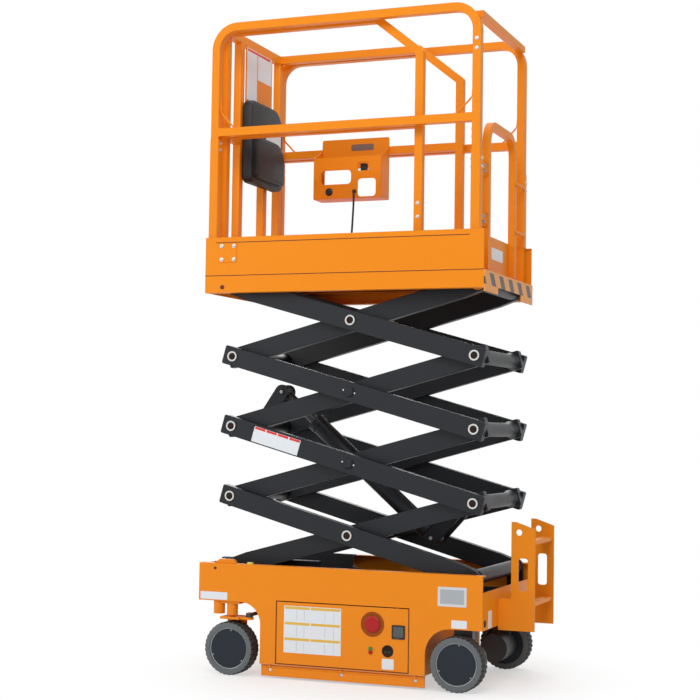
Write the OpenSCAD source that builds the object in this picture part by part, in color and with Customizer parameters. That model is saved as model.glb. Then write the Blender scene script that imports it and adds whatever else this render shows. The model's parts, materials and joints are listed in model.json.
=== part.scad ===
// Self-propelled scissor lift, standing with its deck part raised.
// X runs from the front (steered) end to the ladder, Y across, Z up from the floor.

/* [Scissor stack] */
// Length of every arm from end pin to end pin
arm_l = 1126; // [1060:1:1180]
// Angle of the arms above level as the lift stands
arm_angle = 15.4; // [13:0.1:18]
// Height of the arm tube
arm_h = 80; // [64:1:88]
// Width of the arm tube
arm_w = 40; // [30:1:46]
// Wall of the arm tube
arm_wall = 5; // [3:0.5:8]
// Radius of the arm ends about their pins
arm_end_r = 34; // [30:1:38]
// Gap between an outer arm and the inner arm beside it
arm_gap = 6; // [3:0.5:10]
// Width over the outer arms
stack_w = 634; // [600:1:640]
// Diameter of the pivot pins
pin_d = 30; // [20:1:36]
// Radial running clearance of every pin in its bore
pin_gap = 0.05; // [0.02:0.01:0.1]
// Diameter of the retaining rings on the pin ends
ring_d = 46; // [38:1:56]
// Thickness of the retaining rings
ring_t = 4; // [2:0.5:6]
// Outside diameter of the cross tubes
tube_d = 60; // [48:1:66]
// Height of the base pins above the floor
base_pin_z = 451; // [440:1:470]
// Position of the stack's middle along the machine
stack_x = -52; // [-70:1:-40]

/* [Lift cylinder] */
// Foot pin, measured along the lowest inner arm from its left pin
foot_u = 829; // [780:1:860]
// Foot pin, measured square to that arm
foot_v = -88; // [-100:1:-80]
// Head pin, measured along the third inner arm from its left pin
head_u = 148; // [130:1:170]
// Head pin, measured square to that arm
head_v = 120; // [110:1:130]
// Outside diameter of the barrel
barrel_d = 76; // [60:1:80]
// Length of the barrel from the foot pin
barrel_l = 744; // [700:1:750]
// Diameter of the rod
rod_d = 40; // [30:1:50]
// Length of the rod from the head pin
rod_l = 716; // [680:1:720]
// Distance along the arm from the foot pin to the cross tube that carries it
foot_seat = 150; // [140:1:180]
// Diameter of the cylinder's pins
cyl_pin_d = 25; // [18:1:30]
// Thickness of the cylinder's lug plates
lug_t = 14; // [8:1:18]

/* [Chassis] */
// Front end of the chassis
chassis_front = -702; // [-705:1:-690]
// Length of the chassis
chassis_l = 1257; // [1240:1:1270]
// Width over the side panels
chassis_w = 756; // [740:1:764]
// Height of the side panels' top edge
chassis_top = 467; // [460:1:480]
// Height of the front fascia's lower edge
fascia_z = 309; // [300:1:320]
// Height of the rear lower edge
rear_z = 250; // [244:1:260]
// Height of the sill's lower edge
sill_z = 58; // [50:1:70]
// Plate thickness of the chassis
plate_t = 5; // [3:0.5:8]
// Width of the folded flange along the top edges
flange_w = 40; // [30:1:42]

/* [Wheels and steering] */
// Outside diameter of the tyres
tyre_d = 224; // [214:1:228]
// Width of the tyres
tyre_w = 76; // [60:1:80]
// Diameter of the disc inside the tyre
rim_d = 166; // [150:1:176]
// Width over the outer faces of the tyres
track_w = 770; // [764:1:790]
// Distance from the stack's middle to the front axle
front_axle_dx = 505; // [490:1:515]
// Distance from the stack's middle to the rear axle
rear_axle_dx = 500; // [480:1:510]
// Diameter of the stub axles
axle_d = 30; // [24:1:36]
// Diameter of the kingpins
kingpin_d = 26; // [20:1:30]
// Length of the steering arms
steer_arm = 80; // [70:1:90]

/* [Deck and guard rails] */
// Distance from the stack's middle to the deck's front end
deck_lead = 655.5; // [650:0.5:665]
// Length of the deck
deck_l = 1250; // [1230:1:1260]
// Width over the deck's side frames
deck_w = 732; // [720:1:744]
// Height of the deck floor above the top pins
deck_rise = 45.5; // [44:0.5:50]
// Depth of the deck's side frame
frame_h = 73.5; // [68:0.5:84]
// Thickness of the deck's floor and side plates
sheet_t = 3; // [2:0.5:4]
// Height of the toe boards
toe_h = 165; // [140:1:180]
// Height of the guard rails above the deck
rail_h = 1100; // [1000:1:1200]
// Height of the mid rails' top above the deck
mid_h = 642; // [600:1:680]
// Side of the square rail tube
rail_t = 35; // [28:1:38]
// Outer radius of the guard rail's top corners
rail_r = 115; // [80:1:140]
// Width over the outer guard rails
rail_w = 710; // [700:1:712]
// Length of the outer guard rails
rail_l = 1216; // [1200:1:1230]
// Width over the extension's rails
ext_w = 589; // [570:1:596]
// Length of the extension deck
ext_l = 939; // [900:1:960]

/* [Ladder] */
// Length of the whole machine, deck front to ladder rear
overall_l = 1415; // [1405:1:1440]
// Width over the ladder's side plates
ladder_w = 317; // [300:1:360]
// Height of the ladder's top
ladder_top = 673; // [640:1:700]
// Depth of the ladder's side plates
ladder_d = 99; // [85:1:110]
// Thickness of the ladder's side plates
ladder_t = 8; // [5:1:12]

/* [Hidden] */
$fn = 64;

paint = [0.95, 0.5, 0.07];
charcoal = [0.13, 0.14, 0.16];
black = [0.05, 0.05, 0.06];
steel = [0.7, 0.71, 0.72];
grey = [0.45, 0.47, 0.49];

// Small overlap that lets joined solids fuse
fuse = 0.5;
// Clearance between sliding faces
slide_gap = 0.5;
// Clearance between a moving piece and what it passes
run_gap = 6;

stage_h = arm_l * sin(arm_angle);
half_span = arm_l * cos(arm_angle) / 2;
left_x = stack_x - half_span;
right_x = stack_x + half_span;
bore_r = pin_d / 2 + pin_gap;
outer_out = stack_w / 2;
outer_in = outer_out - arm_w;
inner_out = outer_in - arm_gap;
inner_in = inner_out - arm_w;
top_pin_z = base_pin_z + 4 * stage_h;

// Sliding blocks at the left ends of the stack
block_l = 72;
block_w = 34;
block_h = 46;
// Lane of the base blocks, inside the inner arms
base_lane_out = inner_in - arm_gap;
base_lane_in = base_lane_out - block_w;
// Lane of the deck blocks, outside the outer arms
deck_lane_in = outer_out + arm_gap;
deck_lane_out = deck_lane_in + block_w;
// Ends of the blocks' travel, from the lowest and the highest arm angle
low_angle = 5.5;
high_angle = 48;
travel_left = right_x - arm_l * cos(low_angle);
travel_right = right_x - arm_l * cos(high_angle);

// Plan of the chassis
chassis_rear = chassis_front + chassis_l;
side_y = chassis_w / 2;
front_x = stack_x - front_axle_dx;
rear_x = stack_x + rear_axle_dx;
wheel_r = tyre_d / 2;
wheel_y = track_w / 2 - tyre_w / 2;
arch_r = wheel_r + 28;

// Deck
deck_z = top_pin_z + deck_rise;
deck_front = stack_x - deck_lead;
deck_rear = deck_front + deck_l;
frame_z = deck_z - frame_h;
rail_y = rail_w / 2;
rail_front = deck_front + 8;
ext_front = deck_front + 17;
ext_y = ext_w / 2;
ext_z = deck_z + slide_gap;
floor_t = 8;
gate_x = rail_front + rail_l - rail_t / 2;
ladder_rear = deck_front + overall_l;
ladder_y = ladder_w / 2;

// Places on the arms, as [x, z]
function on_inner(stage, u, v) = [
    left_x + u * cos(arm_angle) - v * sin(arm_angle),
    base_pin_z + stage * stage_h + u * sin(arm_angle) + v * cos(arm_angle)
];
foot = on_inner(0, foot_u, foot_v);
head = on_inner(2, head_u, head_v);
cyl_l = norm(head - foot);
cyl_angle = atan2(head[1] - foot[1], foot[0] - head[0]);
eye_w = 48;
eye_r = 32;
// Collar on the barrel's open end, wall beside it and what stands proud of a bracket's pin
neck_wall = 3;
pin_collar = 8;
pin_proud = 3;
barrel_lane = barrel_d / 2 + neck_wall + 3;
rod_lane = eye_w / 2 + 3;

// General shapes

// A bar along Y between two sides
module cross_bar(d, from, to) {
    translate([0, from, 0]) rotate([-90, 0, 0]) cylinder(d = d, h = to - from);
}

// A cylinder on both sides of the middle plane
module both_bars(d, from, to) {
    cross_bar(d, from, to);
    cross_bar(d, -to, -from);
}

// A flat outline in the XZ plane, made thick along Y
module slab(from, to) {
    translate([0, to, 0]) rotate([90, 0, 0]) linear_extrude(to - from) children();
}

// A flat outline in the YZ plane, made thick along X
module end_slab(from, to) {
    translate([from, 0, 0]) rotate([90, 0, 90]) linear_extrude(to - from) children();
}

// A rectangle with its four corners rounded
module round_rect(w, h, r) {
    translate([r, 0]) square([w - 2 * r, h]);
    translate([0, r]) square([w, h - 2 * r]);
    for (x = [r, w - r], y = [r, h - r]) translate([x, y]) circle(r);
}

// An arch outline, open at the bottom, with round top corners
module arch_outline(w, h, r) {
    square([w, h - r]);
    translate([r, 0]) square([w - 2 * r, h]);
    for (x = [r, w - r]) translate([x, h - r]) circle(r);
}

// A bent tube in the shape of an arch
module arch_tube(w, h, r, t) {
    difference() {
        arch_outline(w, h, r);
        translate([t, -fuse]) arch_outline(w - 2 * t, h - t + fuse, r - t);
    }
}

// A flat bar between two points with round ends
module flat_bar(a, b, t) {
    d = b - a;
    translate(a) rotate(atan2(d[1], d[0])) translate([0, -t / 2]) square([norm(d), t]);
    for (p = [a, b]) translate(p) circle(t / 2);
}

// Scissor arms

module arm_outline() {
    taper = 70;
    for (side = [0, 1]) {
        translate([side * arm_l, 0]) mirror([side, 0]) {
            circle(arm_end_r);
            polygon([[0, -arm_end_r], [taper, -arm_h / 2], [taper, arm_h / 2], [0, arm_end_r]]);
        }
    }
    translate([taper, -arm_h / 2]) square([arm_l - 2 * taper, arm_h]);
}

// One tube with a solid boss at each of its pins
module arm_tube(from) {
    boss_r = tube_d / 2;
    difference() {
        slab(from, from + arm_w) arm_outline();
        slab(from + arm_wall, from + arm_w - arm_wall)
            translate([-arm_h, -arm_h / 2 + arm_wall + 4])
                square([arm_l + 2 * arm_h, arm_h - 2 * arm_wall - 8]);
    }
    for (u = [0, arm_l / 2, arm_l])
        translate([u, 0, 0]) cross_bar(2 * boss_r, from + fuse, from + arm_w - fuse);
}

module arm_pair(inside) {
    arm_tube(inside);
    arm_tube(-inside - arm_w);
}

// Places children along an outer arm, which falls to the right
module on_outer_arm(stage) {
    translate([left_x, 0, base_pin_z + (stage + 1) * stage_h]) rotate([0, arm_angle, 0]) children();
}

// Places children along an inner arm, which rises to the right
module on_inner_arm(stage) {
    translate([left_x, 0, base_pin_z + stage * stage_h]) rotate([0, -arm_angle, 0]) children();
}

// Shaft that carries a pivot right across, with a ring on each end
module full_shaft(u) {
    translate([u, 0, 0]) {
        cross_bar(pin_d, -outer_out, outer_out);
        both_bars(ring_d, outer_out - fuse, outer_out + ring_t);
    }
}

// Short pins that carry a pivot on each side
module stub_pins(u) {
    translate([u, 0, 0]) {
        both_bars(pin_d, inner_in, outer_out);
        both_bars(ring_d, outer_out - fuse, outer_out + ring_t);
    }
}

module outer_frame(stage) {
    on_outer_arm(stage) {
        arm_pair(outer_in);
        if (stage < 3) full_shaft(0);
        if (stage == 3) both_bars(pin_d, outer_in, deck_lane_out);
        if (stage > 0) full_shaft(arm_l);
        if (stage == 0) translate([arm_l, 0, 0]) {
            cross_bar(pin_d, -lug_out, lug_out);
            cross_bar(tube_d, -outer_in - fuse, outer_in + fuse);
        }
        if (stage == 0 || stage == 3) full_shaft(arm_l / 2);
        else stub_pins(arm_l / 2);
    }
}

// Lugs that carry the fixed base pins
lug_in = outer_out + 4;
lug_out = lug_in + lug_t;

module inner_frame(stage) {
    ends = [0, arm_l / 2, arm_l];
    on_inner_arm(stage) {
        difference() {
            union() {
                arm_pair(inner_in);
                if (stage > 0) cross_bar_at(0);
                if (stage == 0 || stage == 3) cross_bar_at(arm_l / 2);
                cross_bar_at(arm_l);
            }
            for (u = ends)
                if (!(stage == 0 && u == 0) && !(stage == 3 && u == arm_l))
                    translate([u, 0, 0]) cross_bar(2 * bore_r, -outer_in, outer_in);
        }
        if (stage == 0) both_bars(pin_d, base_lane_in, inner_out);
        if (stage == 3) translate([arm_l, 0, 0]) both_bars(pin_d, inner_in, deck_lug_out);
    }
}

module cross_bar_at(u) {
    translate([u, 0, 0]) cross_bar(tube_d, -inner_in - fuse, inner_in + fuse);
}

// Plates that hold a cylinder pin, carried by a cross tube of the same frame
module cylinder_bracket(stage, u, v, seat_u, in, full_pin) {
    seat_r = tube_d / 2 - 4;
    out = in + lug_t;
    on_inner_arm(stage) {
        translate([seat_u, 0, 0]) cross_bar(tube_d, -inner_in - fuse, inner_in + fuse);
        for (from = [in, -out]) slab(from, from + lug_t) link_outline([u, v], eye_r, [seat_u, 0], seat_r);
        translate([u, 0, v]) {
            if (full_pin) {
                cross_bar(cyl_pin_d, -out - pin_proud, out + pin_proud);
                both_bars(cyl_pin_d + 2 * pin_collar, eye_w / 2 + slide_gap, in + fuse);
            }
            else both_bars(cyl_pin_d, eye_w / 2 + slide_gap, out + pin_proud);
        }
    }
}

// Outline of a plate that wraps two round ends
module link_outline(a, ra, b, rb) {
    n = [-(b - a)[1], (b - a)[0]] / norm(b - a);
    translate(a) circle(ra);
    translate(b) circle(rb);
    polygon([a + ra * n, b + rb * n, b - rb * n, a - ra * n]);
}

// Lugs under the deck that carry the fixed top pins
deck_lug_in = outer_in;
deck_lug_out = outer_in + lug_t;

module outer_arm_1() { color(charcoal) outer_frame(0); }
module outer_arm_2() { color(charcoal) outer_frame(1); }
module outer_arm_3() { color(charcoal) outer_frame(2); }
module outer_arm_4() { color(charcoal) outer_frame(3); }
module inner_arm_1() {
    color(charcoal) {
        inner_frame(0);
        cylinder_bracket(0, foot_u, foot_v, foot_u + foot_seat, barrel_lane, true);
    }
}
module inner_arm_2() { color(charcoal) inner_frame(1); }
module inner_arm_3() {
    color(charcoal) {
        difference() {
            union() {
                inner_frame(2);
                cylinder_bracket(2, head_u, head_v, 0, rod_lane, false);
            }
            on_inner_arm(2) cross_bar(2 * bore_r, -outer_in, outer_in);
        }
    }
}
module inner_arm_4() { color(charcoal) inner_frame(3); }

module slider_pair(inside) {
    for (side = [-1, 1])
        translate([0, side * (inside + block_w / 2), 0]) difference() {
            cube([block_l, block_w, block_h], center = true);
            cross_bar(2 * bore_r, -block_w, block_w);
        }
}

module base_sliders() { color(black) translate([left_x, 0, base_pin_z]) slider_pair(base_lane_in); }
module deck_sliders() { color(black) translate([left_x, 0, top_pin_z]) slider_pair(deck_lane_in); }

// Lift cylinder, laid along the line from its foot pin to its head pin
module along_cylinder() {
    translate([foot[0], 0, foot[1]]) rotate([0, cyl_angle, 0]) mirror([1, 0, 0]) children();
}

module lift_barrel() {
    rod_bore = rod_d + 0.6;
    neck = 30;
    color(charcoal) along_cylinder() {
        difference() {
            union() {
                cross_bar(2 * eye_r, -eye_w / 2, eye_w / 2);
                rotate([0, 90, 0]) cylinder(d = eye_w - 4, h = eye_r + 12);
                translate([eye_r + 8, 0, 0]) rotate([0, 90, 0]) cylinder(d = barrel_d, h = barrel_l - eye_r - 8);
                translate([barrel_l - neck, 0, 0]) rotate([0, 90, 0]) cylinder(d = barrel_d + 2 * neck_wall, h = neck);
            }
            cross_bar(cyl_pin_d + 2 * pin_gap, -eye_w, eye_w);
            translate([eye_r + 12, 0, 0]) rotate([0, 90, 0]) cylinder(d = rod_bore, h = barrel_l);
        }
    }
}

module lift_rod() {
    color(steel) along_cylinder() translate([cyl_l, 0, 0]) {
        difference() {
            union() {
                cross_bar(2 * eye_r - 8, -eye_w / 2, eye_w / 2);
                translate([-rod_l, 0, 0]) rotate([0, 90, 0]) cylinder(d = rod_d, h = rod_l);
            }
            cross_bar(cyl_pin_d + 2 * pin_gap, -eye_w, eye_w);
        }
    }
}

// Chassis

belly_front = front_x + arch_r + 4;
belly_rear = rear_x - arch_r + 8;
door_front = belly_front + 76;
door_rear = belly_rear - 72;
door_z = sill_z + plate_t + 3;
door_top = fascia_z + 11;
door_gap = 4;
// Door pivot, measured from the door's rear edge and from its face
pivot_back = 50;
pivot_in = 12;
pivot_d = 10;
// Swing-down guards under the sills
guard_h = 40;
guard_t = 6;
guard_rod = 12;
guard_y = side_y - 14;
guard_hinge_z = sill_z - 9;
ear_t = 8;
ear_r = 8.5;
// Height of the rear plate above the rear lower edge
rear_plate_h = 150;
ear_xs = [for (k = [0.06, 0.5, 0.94]) belly_front + k * (belly_rear - belly_front)];

// Outline of a side panel, with both wheel arches and the door opening cut
module side_outline() {
    difference() {
        translate([chassis_front, sill_z]) square([chassis_l, chassis_top - sill_z]);
        translate([chassis_front - fuse, 0]) square([belly_front - chassis_front - 90 + fuse, fascia_z]);
        translate([chassis_front, 0]) square([belly_front - chassis_front, fascia_z - 90]);
        translate([belly_front - 90, fascia_z - 90]) circle(90);
        translate([belly_rear, 0]) square([chassis_rear - belly_rear + fuse, rear_z - 104]);
        translate([belly_rear + 104, 0]) square([chassis_rear - belly_rear, rear_z]);
        translate([belly_rear + 104, rear_z - 104]) circle(104);
        translate([door_front - door_gap, door_z - door_gap])
            square([door_rear - door_front + 2 * door_gap, door_top - door_z + 2 * door_gap]);
    }
}

module side_panel() {
    slab(-side_y, -side_y + plate_t) side_outline();
    translate([chassis_front, -side_y, chassis_top - plate_t]) cube([chassis_l, flange_w, plate_t]);
}

module side_panel_near() { color(paint) side_panel(); }
module side_panel_far() { color(paint) mirror([0, 1, 0]) side_panel(); }

// Channel that guides a base block, open towards its inner arm
module base_channel() {
    start = travel_left - block_l / 2 - 6;
    len = travel_right - travel_left + block_l + 12;
    web = base_lane_in - 2 - channel_t;
    half = block_h / 2 + slide_gap;
    translate([start, web, base_pin_z - half - channel_t])
        cube([len, channel_t, 2 * (half + channel_t)]);
    for (z = [-half - channel_t, half])
        translate([start, web, base_pin_z + z]) cube([len, base_lane_out - web, channel_t]);
}

// Width between the side panels
inner_y = side_y - plate_t;
channel_t = 6;
beam_y = base_lane_in - 2 - channel_t;

// Long beams that carry the sliding channels, and the beams along the belly
module chassis_frame() {
    beam_top = base_pin_z - block_h / 2 - slide_gap - channel_t;
    low_z = rear_z + plate_t;
    high_z = fascia_z + plate_t;
    color(paint) for (side = [0, 1]) mirror([0, side, 0]) {
        translate([chassis_front + plate_t, beam_y, high_z])
            cube([travel_right + block_l - chassis_front, channel_t, beam_top - high_z + fuse]);
        translate([belly_front + plate_t, beam_y, low_z])
            cube([chassis_rear - belly_front - 2 * plate_t, channel_t, base_pin_z - 80 - low_z]);
        base_channel();
    }
}

// Folded front box: front plate and the plate above the front wheels
module front_box() {
    color(paint) {
        translate([chassis_front, -inner_y, fascia_z])
            cube([plate_t, 2 * inner_y, chassis_top - plate_t - fascia_z]);
        translate([chassis_front, -inner_y, fascia_z])
            cube([belly_front - chassis_front + plate_t, 2 * inner_y, plate_t]);
    }
}

// Belly plate between its two bulkheads, with the door pivots and the guards' ears
module belly() {
    color(paint) {
        translate([belly_front, -inner_y, sill_z]) cube([plate_t, 2 * inner_y, fascia_z - sill_z]);
        translate([belly_rear - plate_t, -inner_y, sill_z]) cube([plate_t, 2 * inner_y, rear_z - sill_z]);
        translate([belly_front, -inner_y, sill_z]) cube([belly_rear - belly_front, 2 * inner_y, plate_t]);
        for (side = [0, 1]) mirror([0, side, 0]) {
            door_pivot();
            for (x = ear_xs) guard_ear(x);
        }
    }
}

// Plate above the rear wheels with the lugs of the fixed pins, and the rear plate
module rear_box() {
    color(paint) {
        translate([belly_rear - plate_t, -inner_y, rear_z])
            cube([chassis_rear - belly_rear + plate_t, 2 * inner_y, plate_t]);
        translate([chassis_rear - plate_t, -inner_y, rear_z]) cube([plate_t, 2 * inner_y, rear_plate_h]);
        for (side = [0, 1]) mirror([0, side, 0]) base_lug();
    }
}

// Pin that a door turns on, standing on the belly plate behind the panel
module door_pivot() {
    translate([door_rear - pivot_back, -side_y + pivot_in, sill_z + plate_t - fuse])
        cylinder(d = pivot_d, h = door_top - sill_z - plate_t);
}

// Ear under the belly plate that a swing-down guard hinges in
module guard_ear(x) {
    difference() {
        translate([x - ear_t / 2, -guard_y - ear_r, guard_hinge_z - ear_r])
            cube([ear_t, 2 * ear_r, sill_z - guard_hinge_z + ear_r + fuse]);
        translate([x - ear_t, -guard_y, guard_hinge_z]) rotate([0, 90, 0])
            cylinder(d = guard_rod + 2 * pin_gap, h = 2 * ear_t);
    }
}

// Lug that carries the fixed base pin on one side
module base_lug() {
    lug_r = 36;
    difference() {
        slab(lug_in, lug_out) {
            translate([right_x, base_pin_z]) circle(lug_r);
            translate([right_x - lug_r, rear_z + fuse]) square([2 * lug_r, base_pin_z - rear_z]);
        }
        translate([right_x, 0, base_pin_z]) cross_bar(2 * bore_r, 0, side_y);
    }
}

module battery_block() {
    inside = base_lane_in + 4;
    outside = side_y - 78;
    top = fascia_z - 30;
    color(grey) for (side = [0, 1]) mirror([0, side, 0])
        translate([door_front + 20, inside, sill_z + plate_t])
            cube([door_rear - door_front - 40, outside - inside, top - sill_z]);
}

module ladder() {
    foot_z = 232;
    front = ladder_rear - ladder_d;
    drop = 27;
    hole_d = 26;
    arm_z = 360;
    color(paint) {
        for (side = [0, 1]) mirror([0, side, 0]) difference() {
            slab(-ladder_y, -ladder_y + ladder_t) difference() {
                union() {
                    polygon([[front, foot_z], [ladder_rear, foot_z], [ladder_rear, ladder_top - drop],
                        [front + 20, ladder_top], [front, ladder_top]]);
                    translate([chassis_rear, foot_z]) square([front - chassis_rear + fuse, arm_z - foot_z]);
                }
                translate([front + 32, ladder_top - 42]) circle(d = hole_d);
                translate([front + 30, foot_z + 162]) round_rect(40, 132, 12);
            }
        }
        // Treads
        for (z = [foot_z + 100, foot_z + 350])
            translate([front + 50, -ladder_y + ladder_t - fuse, z])
                cube([42, ladder_w - 2 * ladder_t + 2 * fuse, 16]);
    }
}

// Motor and gearbox behind each rear wheel, with the stub that the wheel turns on
hub_l = 36;

module drive_units() {
    motor_d = 118;
    inside = 150;
    wheel_in = track_w / 2 - tyre_w;
    color(charcoal) for (side = [0, 1]) mirror([0, side, 0]) translate([rear_x, 0, wheel_r]) {
        cross_bar(motor_d, inside, wheel_in - run_gap);
        cross_bar(axle_d, wheel_in - run_gap - fuse, wheel_y + hub_l / 2);
        translate([-motor_d / 2 + 20, wheel_in - 60, 0]) cube([motor_d - 40, 40, rear_z - wheel_r]);
    }
}

// Tubes that the kingpins turn in, under the plate above the front wheels
module front_axle() {
    boss_d = 46;
    boss_z = tyre_d + 26;
    color(paint) for (side = [-1, 1]) translate([front_x, side * wheel_y, 0]) difference() {
        union() {
            translate([0, 0, boss_z]) cylinder(d = boss_d, h = fascia_z - boss_z);
            translate([-44, -24, fascia_z - 10]) cube([88, 48, 10]);
        }
        cylinder(d = kingpin_d + 2 * pin_gap, h = fascia_z + 20);
    }
}

// Doors and controls

// Door panel with its folded edge, hinged at its rear
module door() {
    edge = 18;
    translate([door_front, -side_y, door_z]) cube([door_rear - door_front, plate_t, door_top - door_z]);
    translate([door_front, -side_y + plate_t - fuse, door_z]) cube([sheet_t, edge + fuse, door_top - door_z]);
    // Eyes that turn on the pivot pin
    for (z = [door_z + 12, door_top - 30]) difference() {
        translate([door_rear - pivot_back - 12, -side_y + plate_t - fuse, z]) cube([24, 16, 14]);
        translate([door_rear - pivot_back, -side_y + pivot_in, z - 1]) cylinder(d = pivot_d + 2 * pin_gap, h = 16);
    }
}

module door_near() { color(paint) door(); }
module door_far() { color(paint) mirror([0, 1, 0]) door(); }

module door_controls() {
    stop_d = 34;
    meter = 58;
    color(black) translate([door_rear - 147, -side_y, 0]) {
        translate([0, 0, 249]) rotate([90, 0, 0]) cylinder(d = stop_d, h = 6);
        translate([84, -4, 196]) cube([meter, 4, meter]);
        translate([-7, 0, 145]) rotate([90, 0, 0]) cylinder(d = 18, h = 5);
        translate([66, 0, 145]) rotate([90, 0, 0]) cylinder(d = 32, h = 4);
    }
}

// Swing-down guard under a sill, standing as it does with the deck raised
module ground_guard() {
    front = belly_front + 4;
    len = belly_rear - belly_front - 8;
    difference() {
        translate([front, -guard_y - guard_t / 2, guard_hinge_z - guard_h]) cube([len, guard_t, guard_h]);
        for (x = ear_xs) translate([x - ear_t / 2 - 3, -side_y, guard_hinge_z - 20]) cube([ear_t + 6, 40, 40]);
    }
    translate([front, -guard_y, guard_hinge_z]) rotate([0, 90, 0]) cylinder(d = guard_rod, h = len);
}

module guard_near() { color(paint) ground_guard(); }
module guard_far() { color(paint) mirror([0, 1, 0]) ground_guard(); }

// Wheels and steering

module tyre() {
    color(black) difference() {
        cross_bar(tyre_d, -tyre_w / 2, tyre_w / 2);
        cross_bar(rim_d, -tyre_w, tyre_w);
    }
}

module wheel_disc() {
    dish = 6;
    color(charcoal) difference() {
        cross_bar(rim_d, -tyre_w / 2 + dish, tyre_w / 2 - dish);
        cross_bar(axle_d + 2 * pin_gap, -tyre_w, tyre_w);
    }
}

module at_wheel(x, side) { translate([x, side * wheel_y, wheel_r]) children(); }

module tyre_front_near() { at_wheel(front_x, -1) tyre(); }
module tyre_front_far() { at_wheel(front_x, 1) tyre(); }
module tyre_rear_near() { at_wheel(rear_x, -1) tyre(); }
module tyre_rear_far() { at_wheel(rear_x, 1) tyre(); }
module disc_front_near() { at_wheel(front_x, -1) wheel_disc(); }
module disc_front_far() { at_wheel(front_x, 1) wheel_disc(); }
module disc_rear_near() { at_wheel(rear_x, -1) wheel_disc(); }
module disc_rear_far() { at_wheel(rear_x, 1) wheel_disc(); }

steer_z = tyre_d + 10;
steer_t = 10;
tie_d = 16;

// Yoke that turns on the kingpin and holds one front wheel from its inner side
module knuckle() {
    fork_in = -tyre_w / 2 - run_gap - 12;
    translate([front_x, wheel_y, 0]) {
        translate([0, 0, steer_z]) cylinder(d = kingpin_d, h = fascia_z - steer_z - 2);
        translate([-44, fork_in, steer_z]) cube([88, -fork_in + 30, steer_t]);
        translate([-44, fork_in, wheel_r - 34]) cube([88, 12, steer_z - wheel_r + 34 + fuse]);
        translate([0, 0, wheel_r]) cross_bar(axle_d, fork_in + fuse, tyre_w / 2 - 10);
        // Steering arm, pointing to the rear
        translate([0, -18, steer_z]) cube([steer_arm, 36, steer_t]);
        translate([steer_arm, 0, steer_z]) cylinder(r = 18, h = steer_t);
        translate([steer_arm, 0, steer_z]) cylinder(d = tie_d - 2, h = steer_t + tie_d + 4);
    }
}

module knuckle_far() { color(paint) knuckle(); }
module knuckle_near() { color(paint) mirror([0, 1, 0]) knuckle(); }

module tie_rod() {
    z = steer_z + steer_t + 1 + tie_d / 2;
    eye = 30;
    color(steel) difference() {
        union() {
            translate([front_x + steer_arm, 0, z]) cross_bar(tie_d, -wheel_y, wheel_y);
            for (side = [-1, 1]) translate([front_x + steer_arm, side * wheel_y, z - tie_d / 2])
                cylinder(d = eye, h = tie_d);
        }
        for (side = [-1, 1]) translate([front_x + steer_arm, side * wheel_y, 0])
            cylinder(d = tie_d - 2 + 2 * pin_gap, h = fascia_z);
    }
}

// Deck

module deck_frame() {
    side = deck_w / 2;
    lip_h = 4;
    block_gap = block_h / 2 + slide_gap;
    color(paint) {
        translate([deck_front, -side, deck_z - sheet_t]) cube([deck_l, deck_w, sheet_t]);
        for (s = [0, 1]) mirror([0, s, 0]) {
            translate([deck_front, -side, frame_z]) cube([deck_l, sheet_t, frame_h]);
            // Flanges that the sliding blocks run between
            translate([deck_front, -side, top_pin_z - block_gap - lip_h])
                cube([deck_l, side - deck_lane_in, lip_h]);
            translate([deck_front, -side, top_pin_z + block_gap])
                cube([deck_l, side - deck_lane_in, lip_h]);
            deck_lug();
        }
        // End members under the floor
        translate([deck_front, -side, frame_z]) cube([sheet_t, deck_w, frame_h]);
        translate([deck_rear - sheet_t, -side, frame_z + 20]) cube([sheet_t, deck_w, frame_h - 20]);
    }
}

module deck_lug() {
    lug_r = 30;
    difference() {
        slab(deck_lug_in, deck_lug_out) {
            translate([right_x, top_pin_z]) circle(lug_r);
            translate([right_x - lug_r, top_pin_z])
                square([2 * lug_r, deck_z - sheet_t - top_pin_z + fuse]);
        }
        translate([right_x, 0, top_pin_z]) cross_bar(2 * bore_r, 0, side_y);
    }
}

module toe_boards() {
    side = deck_w / 2;
    color(paint) for (s = [0, 1]) mirror([0, s, 0]) {
        translate([deck_front, -side, deck_z]) cube([deck_l, sheet_t, toe_h]);
        translate([deck_front, -side, deck_z + toe_h - sheet_t]) cube([deck_l, side - rail_y, sheet_t]);
    }
}

module outer_rail() {
    translate([rail_front, 0, deck_z]) slab(-rail_y, -rail_y + rail_t) {
        arch_tube(rail_l, rail_h, rail_r, rail_t);
        translate([rail_t - fuse, mid_h - rail_t]) square([rail_l - 2 * rail_t + 2 * fuse, rail_t]);
    }
}

module rail_near() { color(paint) outer_rail(); }
module rail_far() { color(paint) mirror([0, 1, 0]) outer_rail(); }

module rear_bar() {
    bar_z = deck_z + rail_h - 60;
    gap = rail_y - rail_t;
    color(paint) {
        translate([gate_x - rail_t / 2, -gap, bar_z]) cube([rail_t, 2 * gap, rail_t - 8]);
        for (s = [-1, 1])
            translate([gate_x, s * gap, 0]) gate_post_bracket(s);
    }
}

// Brackets on a rear post: the near ones hold the gate's hinge pins, the far ones stop it
module gate_post_bracket(s) {
    axis = rail_y - rail_t + hinge_y;
    for (z = hinge_zs) translate([0, 0, deck_z + z - 6]) {
        if (s < 0) difference() {
            union() {
                translate([-8, 0, 0]) cube([16, axis, 12]);
                translate([0, axis, 0]) cylinder(d = hinge_d + 8, h = 12);
            }
            translate([0, axis, -1]) cylinder(d = hinge_d + 2 * pin_gap, h = 14);
        }
        else translate([gate_t / 2 + slide_gap, gate_w / 2 - gate_t - rail_y + rail_t, 0])
            cube([8, rail_y - rail_t - gate_w / 2 + gate_t, 12]);
    }
}

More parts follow.
